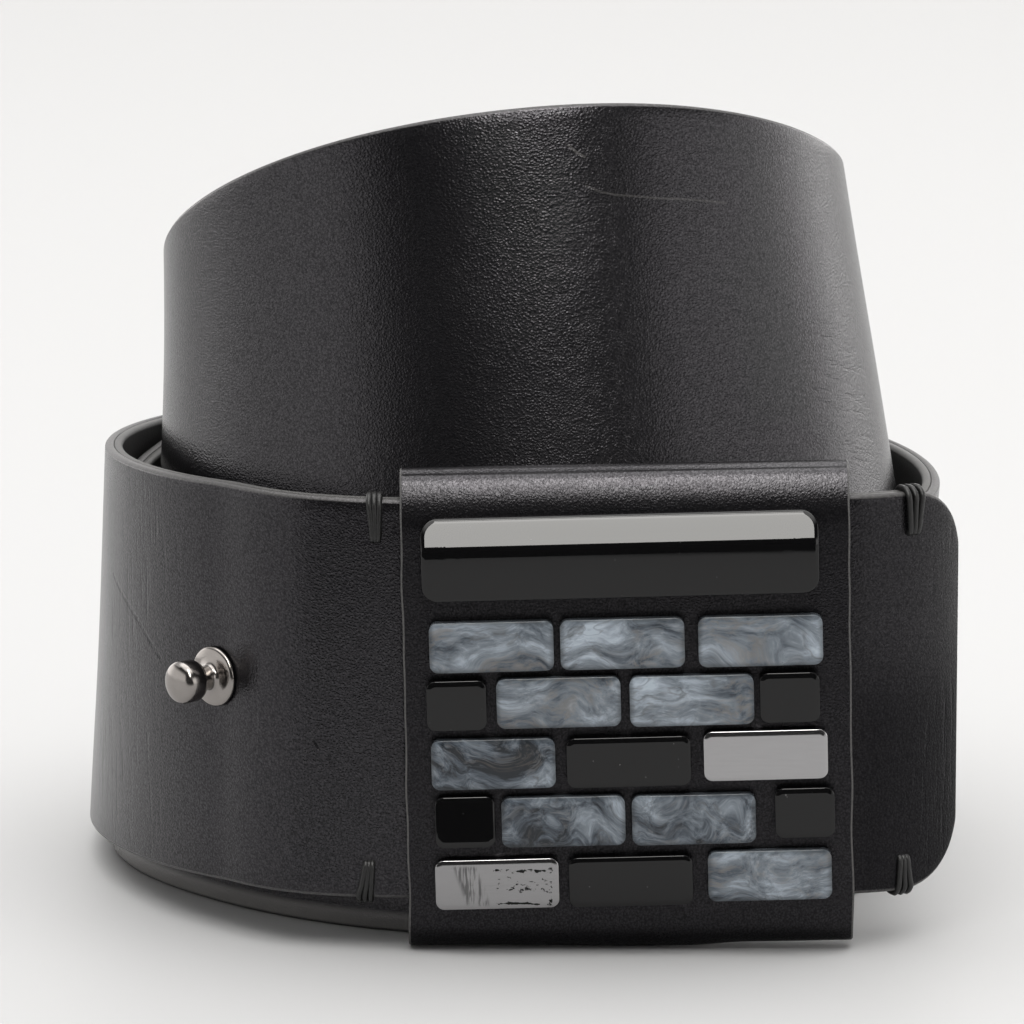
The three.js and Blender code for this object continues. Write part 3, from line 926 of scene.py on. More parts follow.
def waxed_thread():
    """The tacks' twisted thread."""
    material, s = new_material("waxed_thread")
    twist = s.noise(s.mapped(s.position(), turn=(0.7, 0, 0.3)), 3000.0, 2.0)
    color = s.mix(twist, grey(0.003), grey(0.009))
    s.finish(Base_Color=color, Roughness=0.42, Normal=s.bump(twist, 0.00005))
    return material


# Settings.


class BeltStrapSettings(bpy.types.PropertyGroup):
    width: FloatProperty(
        name="Strap width", description="Width of the strap", default=0.07, unit="LENGTH"
    )
    thickness: FloatProperty(
        name="Strap thickness", description="Both plies together", default=0.0032, unit="LENGTH"
    )
    face_ply: FloatProperty(
        name="Face ply", description="Thickness of the face ply", default=0.0016, unit="LENGTH"
    )
    edge_radius: FloatProperty(
        name="Edge radius",
        description="Rounding of the strap's edges",
        default=0.0007,
        unit="LENGTH",
    )
    step: FloatProperty(
        name="Step",
        description="Distance between the strap's sections",
        default=0.0015,
        unit="LENGTH",
    )
    wave: FloatProperty(
        name="Waviness",
        description="Depth of the leather's soft waves",
        default=0.00012,
        unit="LENGTH",
    )
    grain_depth: FloatProperty(
        name="Grain depth",
        description="Depth of the pebbled grain",
        default=0.000027,
        unit="LENGTH",
    )
    roughness: FloatProperty(
        name="Roughness", description="Polish of the leather", default=0.25, subtype="FACTOR"
    )
    leather: FloatVectorProperty(
        name="Leather",
        description="Colour of the leather",
        default=(0.0036, 0.0035, 0.0041),
        subtype="COLOR",
    )
    thread: FloatProperty(
        name="Thread", description="Thickness of the tacks' thread", default=0.00105, unit="LENGTH"
    )


class BeltTileSettings(bpy.types.PropertyGroup):
    thickness: FloatProperty(
        name="Tile thickness", description="Height of a tile", default=0.0024, unit="LENGTH"
    )
    corner: FloatProperty(
        name="Corner", description="Radius of a tile's corners", default=0.0015, unit="LENGTH"
    )
    bevel: FloatProperty(
        name="Bevel", description="Width of a tile's rounded rim", default=0.001, unit="LENGTH"
    )
    bevel_drop: FloatProperty(
        name="Bevel drop",
        description="Height of a tile's rounded rim",
        default=0.00018,
        unit="LENGTH",
    )
    crown: FloatProperty(
        name="Crown", description="Swell of a tile's face", default=0.00006, unit="LENGTH"
    )
    bar_crown: FloatProperty(
        name="Bar crown", description="Height of the bar's middle", default=0.0038, unit="LENGTH"
    )
    bar_corner: FloatProperty(
        name="Bar corner", description="Radius of the bar's corners", default=0.0028, unit="LENGTH"
    )
    pearl_light: FloatVectorProperty(
        name="Pearl", description="Light swirls", default=(0.35, 0.4, 0.455), subtype="COLOR"
    )
    pearl_mid: FloatVectorProperty(
        name="Pearl shade",
        description="Grey swirls",
        default=(0.155, 0.178, 0.204),
        subtype="COLOR",
    )
    pearl_deep: FloatVectorProperty(
        name="Pearl depth",
        description="Dark swirls",
        default=(0.055, 0.067, 0.083),
        subtype="COLOR",
    )
    pearl_warm: FloatVectorProperty(
        name="Pearl veins",
        description="Brownish veins",
        default=(0.13, 0.11, 0.09),
        subtype="COLOR",
    )


class BeltStageSettings(bpy.types.PropertyGroup):
    floor: FloatVectorProperty(
        name="Floor", description="Colour of the floor", default=(0.5, 0.5, 0.5), subtype="COLOR"
    )
    key: FloatProperty(
        name="Key light", description="Power of the front softbox", default=6.2, unit="POWER"
    )
    back: FloatProperty(
        name="Back light",
        description="Power of the light over the back",
        default=9.0,
        unit="POWER",
    )
    floor_light: FloatProperty(
        name="Floor light", description="Power of the floor's own light", default=5.0, unit="POWER"
    )
    sides: FloatProperty(
        name="Surroundings", description="Strength of the pale surroundings", default=1.0
    )


# The strap.


def rounded_side(depth, reach, radius, full, sign, side, quarters):
    """A ply's rounded edge at one side, as section points."""
    points = []
    for k in quarters:
        turn = math.pi / 2 * k / 4
        back = depth - sign * radius * full * (1 - math.cos(turn))
        points.append((back, side * (reach + radius * math.sin(turn)), 1.0))
    return points


def ply_section(inner, outer, half, full, radius, groove):
    """One ply's section at a station, as (depth, height, edge share) points round it."""
    sign = 1.0 if outer > inner else -1.0
    r = min(radius, abs(outer - inner) * 0.6)
    depth = inner + (outer - inner - sign * r) + sign * r * full
    reach = half - r
    points = [(depth, reach * (2 * i / PLY_SPANS - 1), 0.0) for i in range(PLY_SPANS + 1)]
    points += rounded_side(depth, reach, r, full, sign, 1, (1, 2, 3, 4))
    points.append((inner + sign * groove, half, 1.0))
    points.append((inner, half - groove, 1.0))
    for i in (1, 2, 3):
        points.append((inner, (half - groove) * (1 - 2 * i / 4), 0.0))
    points.append((inner, groove - half, 1.0))
    points.append((inner + sign * groove, -half, 1.0))
    points += rounded_side(depth, reach, r, full, sign, -1, (4, 3, 2, 1))
    return points


def ply_mesh(name, settings, inner, outer):
    """One ply along the whole route, between two depths from the strap's middle."""
    route = strap_route(settings)
    width = settings.width / MM
    middle, outward, upward, distance = strap_frames(route, settings.thickness / MM, width)
    radius = settings.edge_radius / MM
    wave = settings.wave / MM
    rings, uvs, edges = [], [], []
    for i in range(len(route)):
        half, full = route[i, 4], route[i, 5]
        section = ply_section(inner, outer, half, full, radius, PLY_GROOVE)
        ring, lay, edge = [], [], []
        travelled = 0.0
        previous = section[0]
        for depth, height, is_edge in section:
            travelled += math.hypot(depth - previous[0], height - previous[1])
            previous = (depth, height, is_edge)
            swell = 0.0
            if abs(depth - outer) < 0.01 and wave:
                calm = smoothstep(half - abs(height), 1.0, 7.0)
                spot = Vector((distance[i] / 21, height / 27, outer))
                swell = noise.noise(spot) * wave * calm
                # The backing swells outwards only.
                swell = swell if outer > 0 else -abs(swell)
            ring.append(middle[i] + outward[i] * (depth + swell) + upward[i] * height)
            lay.append((distance[i] * MM, (section[0][1] + travelled) * MM))
            edge.append(is_edge)
        travelled += math.hypot(section[0][0] - previous[0], section[0][1] - previous[1])
        lay.append((distance[i] * MM, (section[0][1] + travelled) * MM))
        rings.append(ring)
        uvs.append(lay)
        edges.append(edge)
    rings = np.array(rings) * MM + np.array(SHIFT)
    mesh = grid_mesh(name, rings, True, uvs, edges)
    out_facing(mesh)
    return mesh


def cut_holes(piece, settings):
    """Drills the stud's hole and the row of fastening holes through a ply."""
    places = [(angle, 0.0, HOLE_RADIUS) for angle in HOLE_ANGLES]
    places.append((STUD_ANGLE, STUD_UP, STUD_HOLE_RADIUS))
    work = bmesh.new()
    for angle, up, radius in places:
        bmesh.ops.create_cone(
            work,
            cap_ends=True,
            segments=32,
            radius1=radius * MM,
            radius2=radius * MM,
            depth=DRILL_LENGTH * MM,
            matrix=strap_place(angle, up, settings),
        )
    tool_mesh = bpy.data.meshes.new("drill")
    work.to_mesh(tool_mesh)
    work.free()
    tool = new_object("drill", tool_mesh)
    modifier = piece.modifiers.new("holes", "BOOLEAN")
    modifier.operation = "DIFFERENCE"
    modifier.solver = "EXACT"
    modifier.object = tool
    graph = bpy.context.evaluated_depsgraph_get()
    mesh = bpy.data.meshes.new_from_object(piece.evaluated_get(graph))
    piece.modifiers.clear()
    piece.data = mesh
    bpy.data.objects.remove(tool)


class BELT_OT_strap(bpy.types.Operator):
    """Build the strap's two plies along their coil"""

    bl_idname = "belt.strap"
    bl_label = "Strap"

    def execute(self, context):
        settings = context.scene.belt_strap
        half = settings.thickness / MM / 2
        seam = half - settings.face_ply / MM
        face, backing = strap_leather(settings), backing_leather(settings)
        low = seam - PLY_GAP
        plies = (
            ("strap_leather_face", "strap_face", seam, half, "leather", face),
            ("strap_leather_backing", "strap_backing", low, -half, "leather_backing", backing),
        )
        for name, node, inner, outer, slot, material in plies:
            piece = new_object(name, ply_mesh(name, settings, inner, outer))
            cut_holes(piece, settings)
            piece.data.materials.clear()
            piece.data.materials.append(material)
            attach(piece, "root")
            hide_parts(node)
        return {"FINISHED"}


# The sleeve.


def sleeve_outline():
    """The folded section, as (depth to the front, height) points."""
    front, top = SLEEVE_DEPTH, SLEEVE_HALF
    low, high = SLEEVE_FLAT
    points = [(front, low + (high - low) * i / 40) for i in range(41)]
    for i in range(1, 15):
        t = math.sin(math.radians(SLEEVE_TOP_TURN) * i / 14)
        depth = front * (1 - t**SLEEVE_TOP_POWER) ** (1 / SLEEVE_TOP_POWER)
        points.append((depth, high + (top - LAP_STEP - high) * t))
    points += [(depth, top - drop) for depth, drop in LAP_NOTCH]
    shoulder = top - LAP_RADIUS
    for i in range(9):
        turn = math.radians(48 + 132 * i / 8)
        depth = LAP_MIDDLE + LAP_RADIUS * math.cos(turn)
        points.append((depth, shoulder + LAP_RADIUS * math.sin(turn)))
    points += [(-front, shoulder - (shoulder - low) * i / 20) for i in range(1, 21)]
    for i in range(1, 24):
        turn = math.pi + math.pi * i / 24
        points.append((front * math.cos(turn), low + SLEEVE_FOOT * math.sin(turn)))
    return points


def sleeve_passage():
    """The section's inner outline, from the same side and in the same direction."""
    depth = SLEEVE_DEPTH - SLEEVE_WALL
    half, fold = PASSAGE_HALF, PASSAGE_FOLD
    points = [(depth, -half + 2 * half * i / 40) for i in range(41)]
    for i in range(1, 24):
        turn = math.pi * i / 24
        points.append((depth * math.cos(turn), half + fold * math.sin(turn)))
    points += [(-depth, half - 2 * half * i / 20) for i in range(21)]
    for i in range(1, 24):
        turn = math.pi + math.pi * i / 24
        points.append((depth * math.cos(turn), -half + fold * math.sin(turn)))
    return points


def outline_distance(outline):
    """The distance of each point along a closed outline, and of its first point again."""
    ring = np.vstack([outline, outline[:1]])
    return np.concatenate([[0.0], np.cumsum(np.linalg.norm(np.diff(ring, axis=0), axis=1))])


def resampled(points, count):
    """The closed outline as a count of evenly spaced points."""
    ring = np.array(points + points[:1])
    lengths = outline_distance(np.array(points))
    at = np.linspace(0.0, lengths[-1], count, endpoint=False)
    return np.column_stack([np.interp(at, lengths, ring[:, k]) for k in (0, 1)])


def panel_matrix(roll, depth):
    """Local x across, y up and z out of the sleeve's face, at a depth from its middle."""
    turn = math.radians(roll)
    across = Vector((math.cos(turn), 0.0, math.sin(turn)))
    upward = Vector((-math.sin(turn), 0.0, math.cos(turn)))
    out = Vector((0.0, -1.0, 0.0))
    matrix = Matrix((across, upward, out)).transposed().to_4x4()
    matrix.translation = place(SLEEVE_MIDDLE + out * depth)
    return matrix


def sleeve_stations(outer, inner):
    """Sections across the sleeve: x, outline, edge share. The cut sides are chamfered."""
    half = SLEEVE_WIDTH / 2
    inward = outer - outer.mean(axis=0)
    inward /= np.linalg.norm(inward, axis=1)[:, None]
    narrow = outer - inward * SLEEVE_CHAMFER
    arris = half - SLEEVE_CHAMFER
    stations = [(-half, inner, 1.0), (-half, narrow, 1.0)]
    stations += [(-arris, outer, 1.0), (-arris + 0.05, outer, 0.0)]
    stations += [(-half + 0.6 + (2 * half - 1.2) * i / 36, outer, 0.0) for i in range(37)]
    stations += [(arris - 0.05, outer, 0.0), (arris, outer, 1.0)]
    stations += [(half, narrow, 1.0), (half, inner, 1.0)]
    return stations


def sleeve_sag(x):
    """How far the lower fold sags to the floor: most of all right of its middle."""
    return 0.15 + 0.9 * smoothstep(x, -34.0, 9.0) - 0.45 * smoothstep(x, 9.0, 20.0)


class BELT_OT_sleeve(bpy.types.Operator):
    """Build the folded leather sleeve"""

    bl_idname = "belt.sleeve"
    bl_label = "Sleeve"

    def execute(self, context):
        settings = context.scene.belt_strap
        outer = resampled(sleeve_outline(), SLEEVE_POINTS)
        inner = resampled(sleeve_passage(), SLEEVE_POINTS)
        around = outline_distance(outer)
        rings, uvs, edges = [], [], []
        for x, outline, edge in sleeve_stations(outer, inner):
            ring, lay = [], []
            side = smoothstep(abs(x), SLEEVE_WIDTH / 2 - 6, SLEEVE_WIDTH / 2)
            for j, (depth, height) in enumerate(outline):
                below = (SLEEVE_FLAT[0] - height) / SLEEVE_FOOT
                height -= sleeve_sag(x) * min(1.0, max(0.0, below))
                wobble = noise.noise(Vector((height / 9, math.copysign(3.0, x), 0.0))) * 0.25
                swell = noise.noise(Vector((x / 17, height / 19, 4.0))) * 0.12
                swell *= 1.0 if depth > 0 else 0.0
                ring.append((x + wobble * side, height, depth + swell * (1 - side)))
                lay.append((x * MM, around[j] * MM))
            lay.append((x * MM, around[-1] * MM))
            rings.append(ring)
            uvs.append(lay)
            edges.append([edge] * SLEEVE_POINTS)
        rings.append(rings[0])
        uvs.append(uvs[0])
        edges.append(edges[0])
        mesh = grid_mesh("sleeve_leather", np.array(rings) * MM, True, uvs, edges, caps=False)
        mesh.transform(panel_matrix(SLEEVE_ROLL, 0.0))
        out_facing(mesh, merge=True)
        piece = new_object("sleeve_leather", mesh)
        piece.data.materials.append(sleeve_leather(settings))
        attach(piece, "root")
        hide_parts("sleeve")
        return {"FINISHED"}


# Bar and tiles.


def rounded_ring(width, height, corner, inset, level):
    """A rounded rectangle drawn in by an inset; level gives each point's height."""
    r = max(corner - inset, LEAST_CORNER)
    right, top = width / 2 - inset - r, height / 2 - inset - r
    centres = ((right, top), (-right, top), (-right, -top), (right, -top))
    points = []
    for quarter, (x, y) in enumerate(centres):
        for k in range(CORNER_STEPS + 1):
            turn = math.pi / 2 * (quarter + k / CORNER_STEPS)
            points.append((x + r * math.cos(turn), y + r * math.sin(turn)))
        nx, ny = centres[(quarter + 1) % 4]
        turn = math.pi / 2 * (quarter + 1)
        start = (x + r * math.cos(turn), y + r * math.sin(turn))
        end = (nx + r * math.cos(turn), ny + r * math.sin(turn))
        steps = SIDE_STEPS[quarter % 2]
        for k in range(1, steps):
            share = k / steps
            across = start[0] + (end[0] - start[0]) * share
            points.append((across, start[1] + (end[1] - start[1]) * share))
    return [(x, y, level(x, y)) for x, y in points]


def slab_mesh(name, width, height, corner, thickness, arris, pillow, face):
    """A slab with upright sides and a face that rolls off softly towards its rim.

    arris is the radius of the rim, pillow the width and depth of the roll-off, and face
    gives the rest of the relief.
    """
    reach, depth = pillow

    def level(inset, drop=0.0):
        fall = max(0.0, 1 - inset / reach)
        return lambda x, y: thickness - depth * fall * fall + face(x, y) - drop

    def ring(inset, height_at):
        return rounded_ring(width, height, corner, inset, height_at)

    # The foot is drawn in a little, then come the upright side and the rounded rim.
    rings = [ring(FOOT_INSET, lambda x, y: 0.0), ring(0.0, lambda x, y: FOOT_RISE)]
    for k in range(RIM_STEPS + 1):
        turn = math.pi / 2 * k / RIM_STEPS
        drop = arris * (1 - math.sin(turn))
        rings.append(ring(arris * (1 - math.cos(turn)), level(arris, drop)))
    for k in range(1, PILLOW_STEPS + 1):
        inset = arris + (reach - arris) * k / PILLOW_STEPS
        rings.append(ring(inset, level(inset)))
    deepest = min(width, height) / 2 - FACE_MIDDLE
    for k in range(1, FACE_STEPS + 1):
        inset = reach + (deepest - reach) * k / FACE_STEPS
        rings.append(ring(inset, level(inset)))
    return grid_mesh(name, np.array(rings) * MM, True)


def finish_slab(name, node, mesh, across, up, material, slot):
    """Lays a slab on the sleeve's face in place of its node."""
    matrix = panel_matrix(TILE_ROLL, SLEEVE_DEPTH + TILE_SEAT)
    mesh.transform(matrix @ Matrix.Translation(Vector((across, up, 0.0)) * MM))
    out_facing(mesh, merge=True)
    piece = new_object(name, mesh)
    piece.data.materials.append(material)
    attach(piece, "root")
    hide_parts(node)


def bar_fall(share, half):
    """The drop from the bar's ridge at a share of its half height, in millimetres.

    The facet above the ridge slopes, and the one below it is nearly upright.
    """
    if share < 0:
        return BAR_LOWER_BEND * share * share
    slope = 0.0
    for i in range(BAR_SUM_STEPS):
        at = share * (i + 0.5) / BAR_SUM_STEPS
        slope += (0.5 + 0.09 * at) * smoothstep(at, *BAR_RIDGE) / BAR_SUM_STEPS
    return slope * half * share


class BELT_OT_bar(bpy.types.Operator):
    """Build the long crowned bar"""

    bl_idname = "belt.bar"
    bl_label = "Bar"

    def execute(self, context):
        settings = context.scene.belt_tiles
        half = BAR["height"] / 2
        mesh = slab_mesh(
            "bar",
            BAR["width"],
            BAR["height"],
            settings.bar_corner / MM,
            settings.bar_crown / MM,
            BAR_ARRIS,
            BAR_PILLOW,
            lambda x, y: -bar_fall(y / half, half),
        )
        gloss = black_gloss()
        finish_slab("gloss_bar", "tile_bar", mesh, BAR["across"], BAR["up"], gloss, "black_gloss")
        return {"FINISHED"}


class BELT_OT_tiles(bpy.types.Operator):
    """Build the rows of polished tiles"""

    bl_idname = "belt.tiles"
    bl_label = "Tiles"

    def execute(self, context):
        settings = context.scene.belt_tiles
        gloss = black_gloss()
        crown = settings.crown / MM
        for index, (node, across, up, width) in enumerate(TILES):
            low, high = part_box(node)
            centre = (low + high) / 2
            if node.endswith("pearl"):
                dark = node.endswith("dark_pearl")
                reach = (width / 2 * MM, TILE_HEIGHT / 2 * MM)
                material = pearl(f"pearl_{index}", settings, index + 1, dark, centre, reach)
                slot = "dark_pearl_resin" if dark else "pearl_resin"
            elif node.endswith("steel"):
                material, slot = polished_steel(node == WORN_TILE, centre), "polished_steel"
            else:
                material, slot = gloss, "black_gloss"
            half_w, half_h = width / 2, TILE_HEIGHT / 2
            # No tile lies quite flat, and one tips back, so that it mirrors the dark in front.
            lean = TILE_LEAN * math.sin(index * 2.3)
            if node == TIPPED_TILE:
                lean = TIPPED_LEAN

            def face(x, y):
                swell = crown * (2 - (x / half_w) ** 2 - (y / half_h) ** 2)
                return swell + lean * y

            mesh = slab_mesh(
                f"polished_{node}",
                width,
                TILE_HEIGHT,
                settings.corner / MM,
                settings.thickness / MM - 2 * crown,
                TILE_ARRIS,
                (settings.bevel / MM, settings.bevel_drop / MM),
                face,
            )
            finish_slab(f"polished_{node}", node, mesh, across, up, material, slot)
        return {"FINISHED"}


# Stud.


class BELT_OT_stud(bpy.types.Operator):
    """Turn the collar stud, and finish its screw"""

    bl_idname = "belt.stud"
    bl_label = "Collar stud"

    def execute(self, context):
        settings = context.scene.belt_strap
        half = settings.thickness / MM / 2
        face = half + STUD_SEAT
        profile = [(-half, 0.2), (-half, STUD_SHANK), (face, STUD_SHANK)]
        profile += [(face + height, radius) for height, radius in STUD_PROFILE]
        profile.append((face + STUD_TIP, 0.12))
        turns = [2 * math.pi * k / STUD_SIDES for k in range(STUD_SIDES)]
        rings = [
            [(radius * math.cos(turn), radius * math.sin(turn), height) for turn in turns]
            for height, radius in profile
        ]
        mesh = grid_mesh("turned_stud", np.array(rings) * MM, True)
        mesh.transform(strap_place(STUD_ANGLE, STUD_UP, settings))
        out_facing(mesh)
        piece = new_object("turned_stud", mesh)
        metal = gunmetal()
        piece.data.materials.append(metal)
        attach(piece, "root")
        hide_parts("collar_stud")
        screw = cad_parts["stud_screw"]
        for index in range(len(screw.material_slots)):
            screw.material_slots[index].material = metal
        return {"FINISHED"}


# Thread tacks.


def tube_tree():
    """Geometry Nodes: turns each strand's path into a round thread."""
    tree = bpy.data.node_groups.new("thread_strand", "GeometryNodeTree")
    face = tree.interface
    face.new_socket("Geometry", in_out="INPUT", socket_type="NodeSocketGeometry")
    radius = face.new_socket("Thread radius", in_out="INPUT", socket_type="NodeSocketFloat")
    radius.default_value = 0.0004
    sides = face.new_socket("Sides", in_out="INPUT", socket_type="NodeSocketInt")
    sides.default_value = THREAD_SIDES
    material = face.new_socket("Material", in_out="INPUT", socket_type="NodeSocketMaterial")
    face.new_socket("Geometry", in_out="OUTPUT", socket_type="NodeSocketGeometry")
    enter = tree.nodes.new("NodeGroupInput")
    leave = tree.nodes.new("NodeGroupOutput")
    to_curve = tree.nodes.new("GeometryNodeMeshToCurve")
    spline = tree.nodes.new("GeometryNodeCurveSplineType")
    spline.spline_type = "CATMULL_ROM"
    fine = tree.nodes.new("GeometryNodeResampleCurve")
    fine.inputs["Count"].default_value = 36
    circle = tree.nodes.new("GeometryNodeCurvePrimitiveCircle")
    tube = tree.nodes.new("GeometryNodeCurveToMesh")
    tube.inputs["Fill Caps"].default_value = True
    smooth = tree.nodes.new("GeometryNodeSetShadeSmooth")
    realize = tree.nodes.new("GeometryNodeRealizeInstances")
    paint = tree.nodes.new("GeometryNodeSetMaterial")
    joins = (
        (enter, "Geometry", to_curve, "Mesh"),
        (to_curve, "Curve", spline, "Curve"),
        (spline, "Curve", fine, "Curve"),
        (fine, "Curve", tube, "Curve"),
        (enter, "Thread radius", circle, "Radius"),
        (enter, "Sides", circle, "Resolution"),
        (circle, "Curve", tube, "Profile Curve"),
        (tube, "Mesh", smooth, "Geometry"),
        (smooth, "Geometry", realize, "Geometry"),
        (realize, "Geometry", paint, "Geometry"),
        (enter, "Material", paint, "Material"),
        (paint, "Geometry", leave, "Geometry"),
    )
    for source, output, target, into in joins:
        tree.links.new(source.outputs[output], target.inputs[into])
    return tree, radius, sides, material


def run_point(x, height, depth, settings):
    """A point by the strap at an x of its front: height from its middle, depth from it."""
    half = settings.width / MM / 2
    if x > RUN_RIGHT:
        turn = math.asin(min(1.0, (x - RUN_RIGHT) / TAB_RADIUS))
        share = turn / math.radians(TAB_TURN)
        y = -RUN_DISTANCE + TAB_RADIUS * (1 - math.cos(turn))
        out = Vector((math.sin(turn), -math.cos(turn), 0.0))
        rise = RUN_RISE + RUN_CLIMB - TAB_DROOP * share * share
        return place(Vector((x, y, rise + half + height)) + out * depth)
    angle = math.degrees(math.atan2(-x, RUN_DISTANCE))
    if angle > COIL_START:
        middle, outward, upward = coil_frame(angle, settings)
        return place(middle + outward * depth + upward * height)
    return place(Vector((x, -RUN_DISTANCE - depth, RUN_RISE + half + height)))


def strand_path(top, foot, deep, half, thick, radius):
    """A strand from its hole over the strap's edge and back, as (x, height, depth) points."""
    reach = half + radius * 0.8
    skin = thick + radius * 0.75
    return (
        (foot, half - deep, thick - 1.2),
        (foot, half - deep + 0.1, skin * 0.97),
        (foot * 0.7 + top * 0.3, half - deep * 0.66, skin + 0.12),
        (foot * 0.35 + top * 0.65, half - deep * 0.33, skin + 0.1),
        (top, half - 0.7, skin),
        (top, reach, thick * 0.62),
        (top, reach + 0.1, 0.0),
        (top, reach, -thick * 0.62),
        (top, half - 0.7, -skin),
        (foot * 0.5 + top * 0.5, half - deep * 0.5, -skin - 0.1),
        (foot, half - deep + 0.1, -skin * 0.97),
        (foot, half - deep, -thick + 1.2),
    )


class BELT_OT_tacks(bpy.types.Operator):
    """Wind the thread tacks over the strap's edges beside the sleeve"""

    bl_idname = "belt.tacks"
    bl_label = "Thread tacks"

    def execute(self, context):
        settings = context.scene.belt_strap
        half = settings.width / MM / 2
        thick = settings.thickness / MM / 2
        radius = settings.thread / MM / 2
        verts, edges = [], []
        for at_edge, at_hole, deep, side, spread in TACKS:
            for strand in (-1, 0, 1):
                top = at_edge + strand * spread
                foot = at_hole + strand * spread * TACK_GATHER
                path = strand_path(top, foot, deep, half, thick, radius)
                start = len(verts)
                for x, height, depth in path:
                    verts.append(run_point(x, side * height, depth, settings))
                edges += [(start + k, start + k + 1) for k in range(len(path) - 1)]
        mesh = bpy.data.meshes.new("thread_tacks")
        mesh.from_pydata(verts, edges, [])
        piece = new_object("thread_tacks", mesh)
        tree, radius_socket, sides_socket, material_socket = tube_tree()
        modifier = piece.modifiers.new("strands", "NODES")
        modifier.node_group = tree
        modifier[radius_socket.identifier] = settings.thread / 2
        modifier[sides_socket.identifier] = THREAD_SIDES
        modifier[material_socket.identifier] = waxed_thread()
        graph = context.evaluated_depsgraph_get()
        plain = bpy.data.meshes.new_from_object(piece.evaluated_get(graph))
        piece.modifiers.clear()
        piece.data = plain
        out_facing(plain)
        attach(piece, "root")
        return {"FINISHED"}


# Stage.


def pale_surroundings(world, settings):
    """Pale walls at the sides and behind, and a dark gap in front, by direction."""
    world.use_nodes = True
    s = Shader(world)
    x, y, z = s.parts(s.add("ShaderNodeTexCoord").outputs["Generated"])
    azimuth = s.math("ARCTAN2", x, s.math("MULTIPLY", y, -1.0))
    azimuth = s.math("MULTIPLY", azimuth, 180 / math.pi)
    left = s.step(azimuth, *LEFT_WALL, 1.0, 0.0)
    right = s.step(azimuth, *RIGHT_WALL)
    behind = s.step(s.math("ABSOLUTE", azimuth), *BACK_WALL)
    walls = s.math("MULTIPLY", left, LEFT_WALL_GLOW)
    walls = s.math("MULTIPLY_ADD", right, RIGHT_WALL_GLOW, walls)
    walls = s.math("ADD", walls, behind)
    walls = s.math("MULTIPLY", walls, s.step(z, *WALL_TOP))
    ceiling = s.math("MULTIPLY", s.step(z, *CEILING), CEILING_GLOW)
    light = s.math("MAXIMUM", s.math("MAXIMUM", walls, ceiling), DARK_GLOW)
    strength = s.math("MULTIPLY", light, settings.sides)
    glow = {"Color": grey(1.0, (1.0, 0.985, 0.97)), "Strength": strength}
    background = s.add("ShaderNodeBackground", glow)
    s.add("ShaderNodeOutputWorld", {"Surface": background.outputs[0]})


def soft_light(name, power, size, position, target, color=(1.0, 1.0, 1.0), only=None):
    """A rectangular lamp that shines at a target, on the objects of a collection or on all."""
    light = bpy.data.lights.new(name, "AREA")
    light.shape = "RECTANGLE"
    light.size, light.size_y = size
    light.energy = power
    light.color = color
    lamp = bpy.data.objects.new(name, light)
    lamp.location = position
    lamp.rotation_euler = (Vector(target) - Vector(position)).to_track_quat("-Z", "Y").to_euler()
    lamp.light_linking.receiver_collection = only
    bpy.context.scene.collection.objects.link(lamp)


def stage_sheet(name, corners, finish, color, roughness):
    """A flat sheet of the stage."""
    mesh = bpy.data.meshes.new(name)
    mesh.from_pydata(corners, [], [(0, 1, 2, 3)])
    sheet = new_object(name, mesh)
    material, s = new_material(finish)
    s.finish(Base_Color=color, Roughness=roughness)
    sheet.data.materials.append(material)
    return sheet


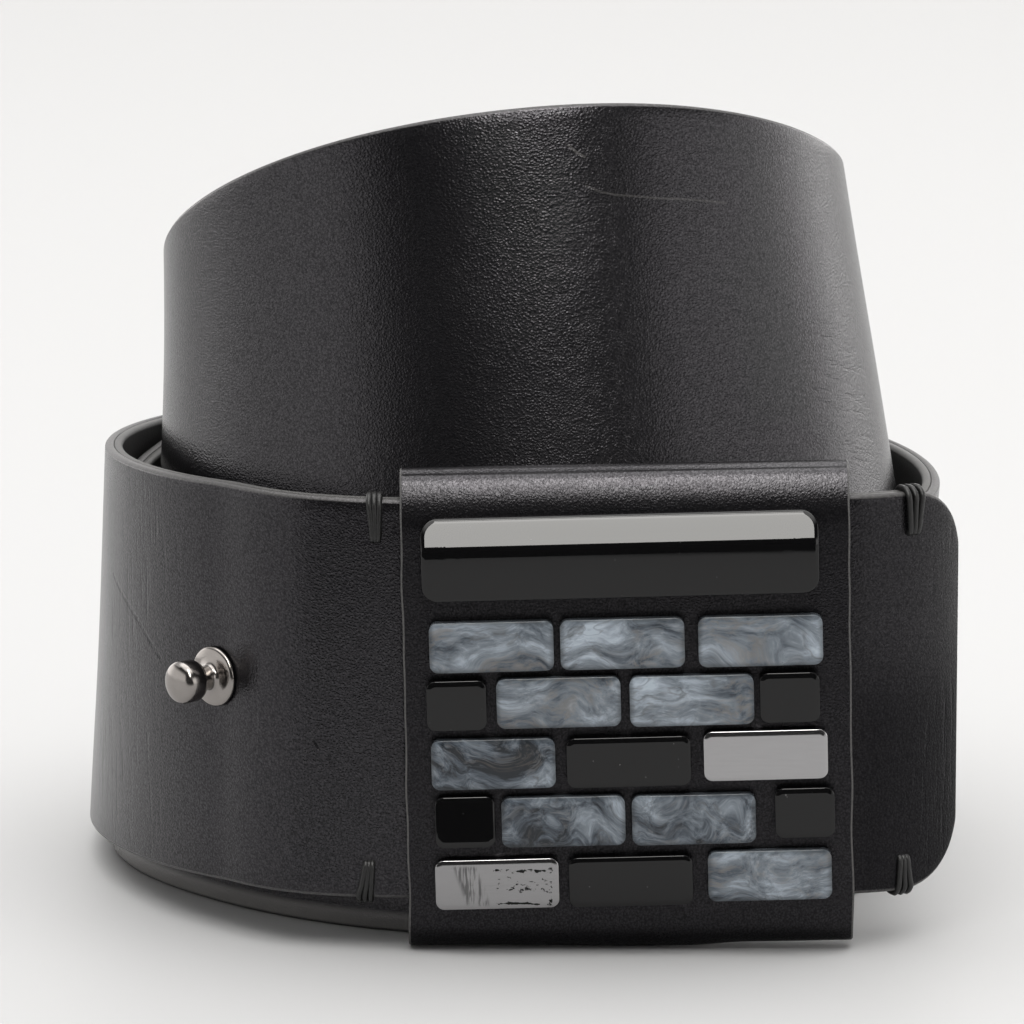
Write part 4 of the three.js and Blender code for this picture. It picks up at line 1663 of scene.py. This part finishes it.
class BELT_OT_stage(bpy.types.Operator):
    """Lay the pale floor, and set the studio lights and the camera"""

    bl_idname = "belt.stage"
    bl_label = "Stage"

    def execute(self, context):
        settings = context.scene.belt_stage
        size = FLOOR_HALF
        corners = [(-size, -size, 0), (size, -size, 0), (size, size, 0), (-size, size, 0)]
        floor = stage_sheet("floor", corners, "pale_floor", tuple(settings.floor) + (1.0,), 0.6)

        # A dark card out of the camera's sight darkens the middle of the reflections.
        left, right, y, low, high = CARD
        corners = [(left, y, low), (right, y, low), (right, y, high), (left, y, high)]
        card = stage_sheet("dark_card", corners, "black_card", grey(0.02), 0.9)
        card.visible_camera = False
        card.visible_diffuse = False
        card.visible_shadow = False
        card.visible_transmission = False

        # The softbox lights the belt only, so the shadow on the floor falls to the front.
        belt_only = bpy.data.collections.new("not_the_floor")
        belt_only.objects.link(floor)
        belt_only.collection_objects[0].light_linking.link_state = "EXCLUDE"
        soft_light("front_softbox", settings.key, **SOFTBOX, only=belt_only)
        # A wide soft light from above the front for the floor only.
        floor_only = bpy.data.collections.new("the_floor")
        floor_only.objects.link(floor)
        soft_light("floor_light", settings.floor_light, **FLOOR_LIGHT, only=floor_only)
        soft_light("back_light", settings.back, **BACK_LIGHT)
        world = bpy.data.worlds.new("studio")
        pale_surroundings(world, settings)
        context.scene.world = world

        camera = bpy.data.cameras.new("camera")
        camera.sensor_width = VIEW_SENSOR
        camera.sensor_fit = "HORIZONTAL"
        camera.lens = VIEW_FOCAL
        camera.clip_start = 0.01
        camera.clip_end = 50.0
        eye = bpy.data.objects.new("camera", camera)
        tilt = math.radians(VIEW_ELEVATION)
        back, up = VIEW_DISTANCE * math.cos(tilt), VIEW_DISTANCE * math.sin(tilt)
        eye.location = place((VIEW_X, -back, VIEW_Z + up))
        eye.rotation_euler = (math.pi / 2 - tilt, 0.0, 0.0)
        context.scene.collection.objects.link(eye)
        context.scene.camera = eye
        context.scene.view_settings.view_transform = "Standard"
        return {"FINISHED"}


class BELT_PT_panel(bpy.types.Panel):
    bl_label = "Belt"
    bl_space_type = "VIEW_3D"
    bl_region_type = "UI"
    bl_category = "Belt"

    def draw(self, context):
        layout = self.layout
        scene = context.scene
        for group in (scene.belt_strap, scene.belt_tiles, scene.belt_stage):
            box = layout.box()
            for name in group.__annotations__:
                box.prop(group, name)
        for operator in OPERATORS:
            layout.operator(operator.bl_idname)


GROUPS = (BeltStrapSettings, BeltTileSettings, BeltStageSettings)
OPERATORS = (
    BELT_OT_strap,
    BELT_OT_sleeve,
    BELT_OT_bar,
    BELT_OT_tiles,
    BELT_OT_stud,
    BELT_OT_tacks,
    BELT_OT_stage,
)


def register():
    for item in (*GROUPS, *OPERATORS, BELT_PT_panel):
        bpy.utils.register_class(item)
    bpy.types.Scene.belt_strap = PointerProperty(type=BeltStrapSettings)
    bpy.types.Scene.belt_tiles = PointerProperty(type=BeltTileSettings)
    bpy.types.Scene.belt_stage = PointerProperty(type=BeltStageSettings)


def unregister():
    del bpy.types.Scene.belt_stage
    del bpy.types.Scene.belt_tiles
    del bpy.types.Scene.belt_strap
    for item in reversed((*GROUPS, *OPERATORS, BELT_PT_panel)):
        bpy.utils.unregister_class(item)


def main():
    register()
    bpy.ops.belt.strap()
    bpy.ops.belt.sleeve()
    bpy.ops.belt.bar()
    bpy.ops.belt.tiles()
    bpy.ops.belt.stud()
    bpy.ops.belt.tacks()
    bpy.ops.belt.stage()


if __name__ == "__main__":
    main()
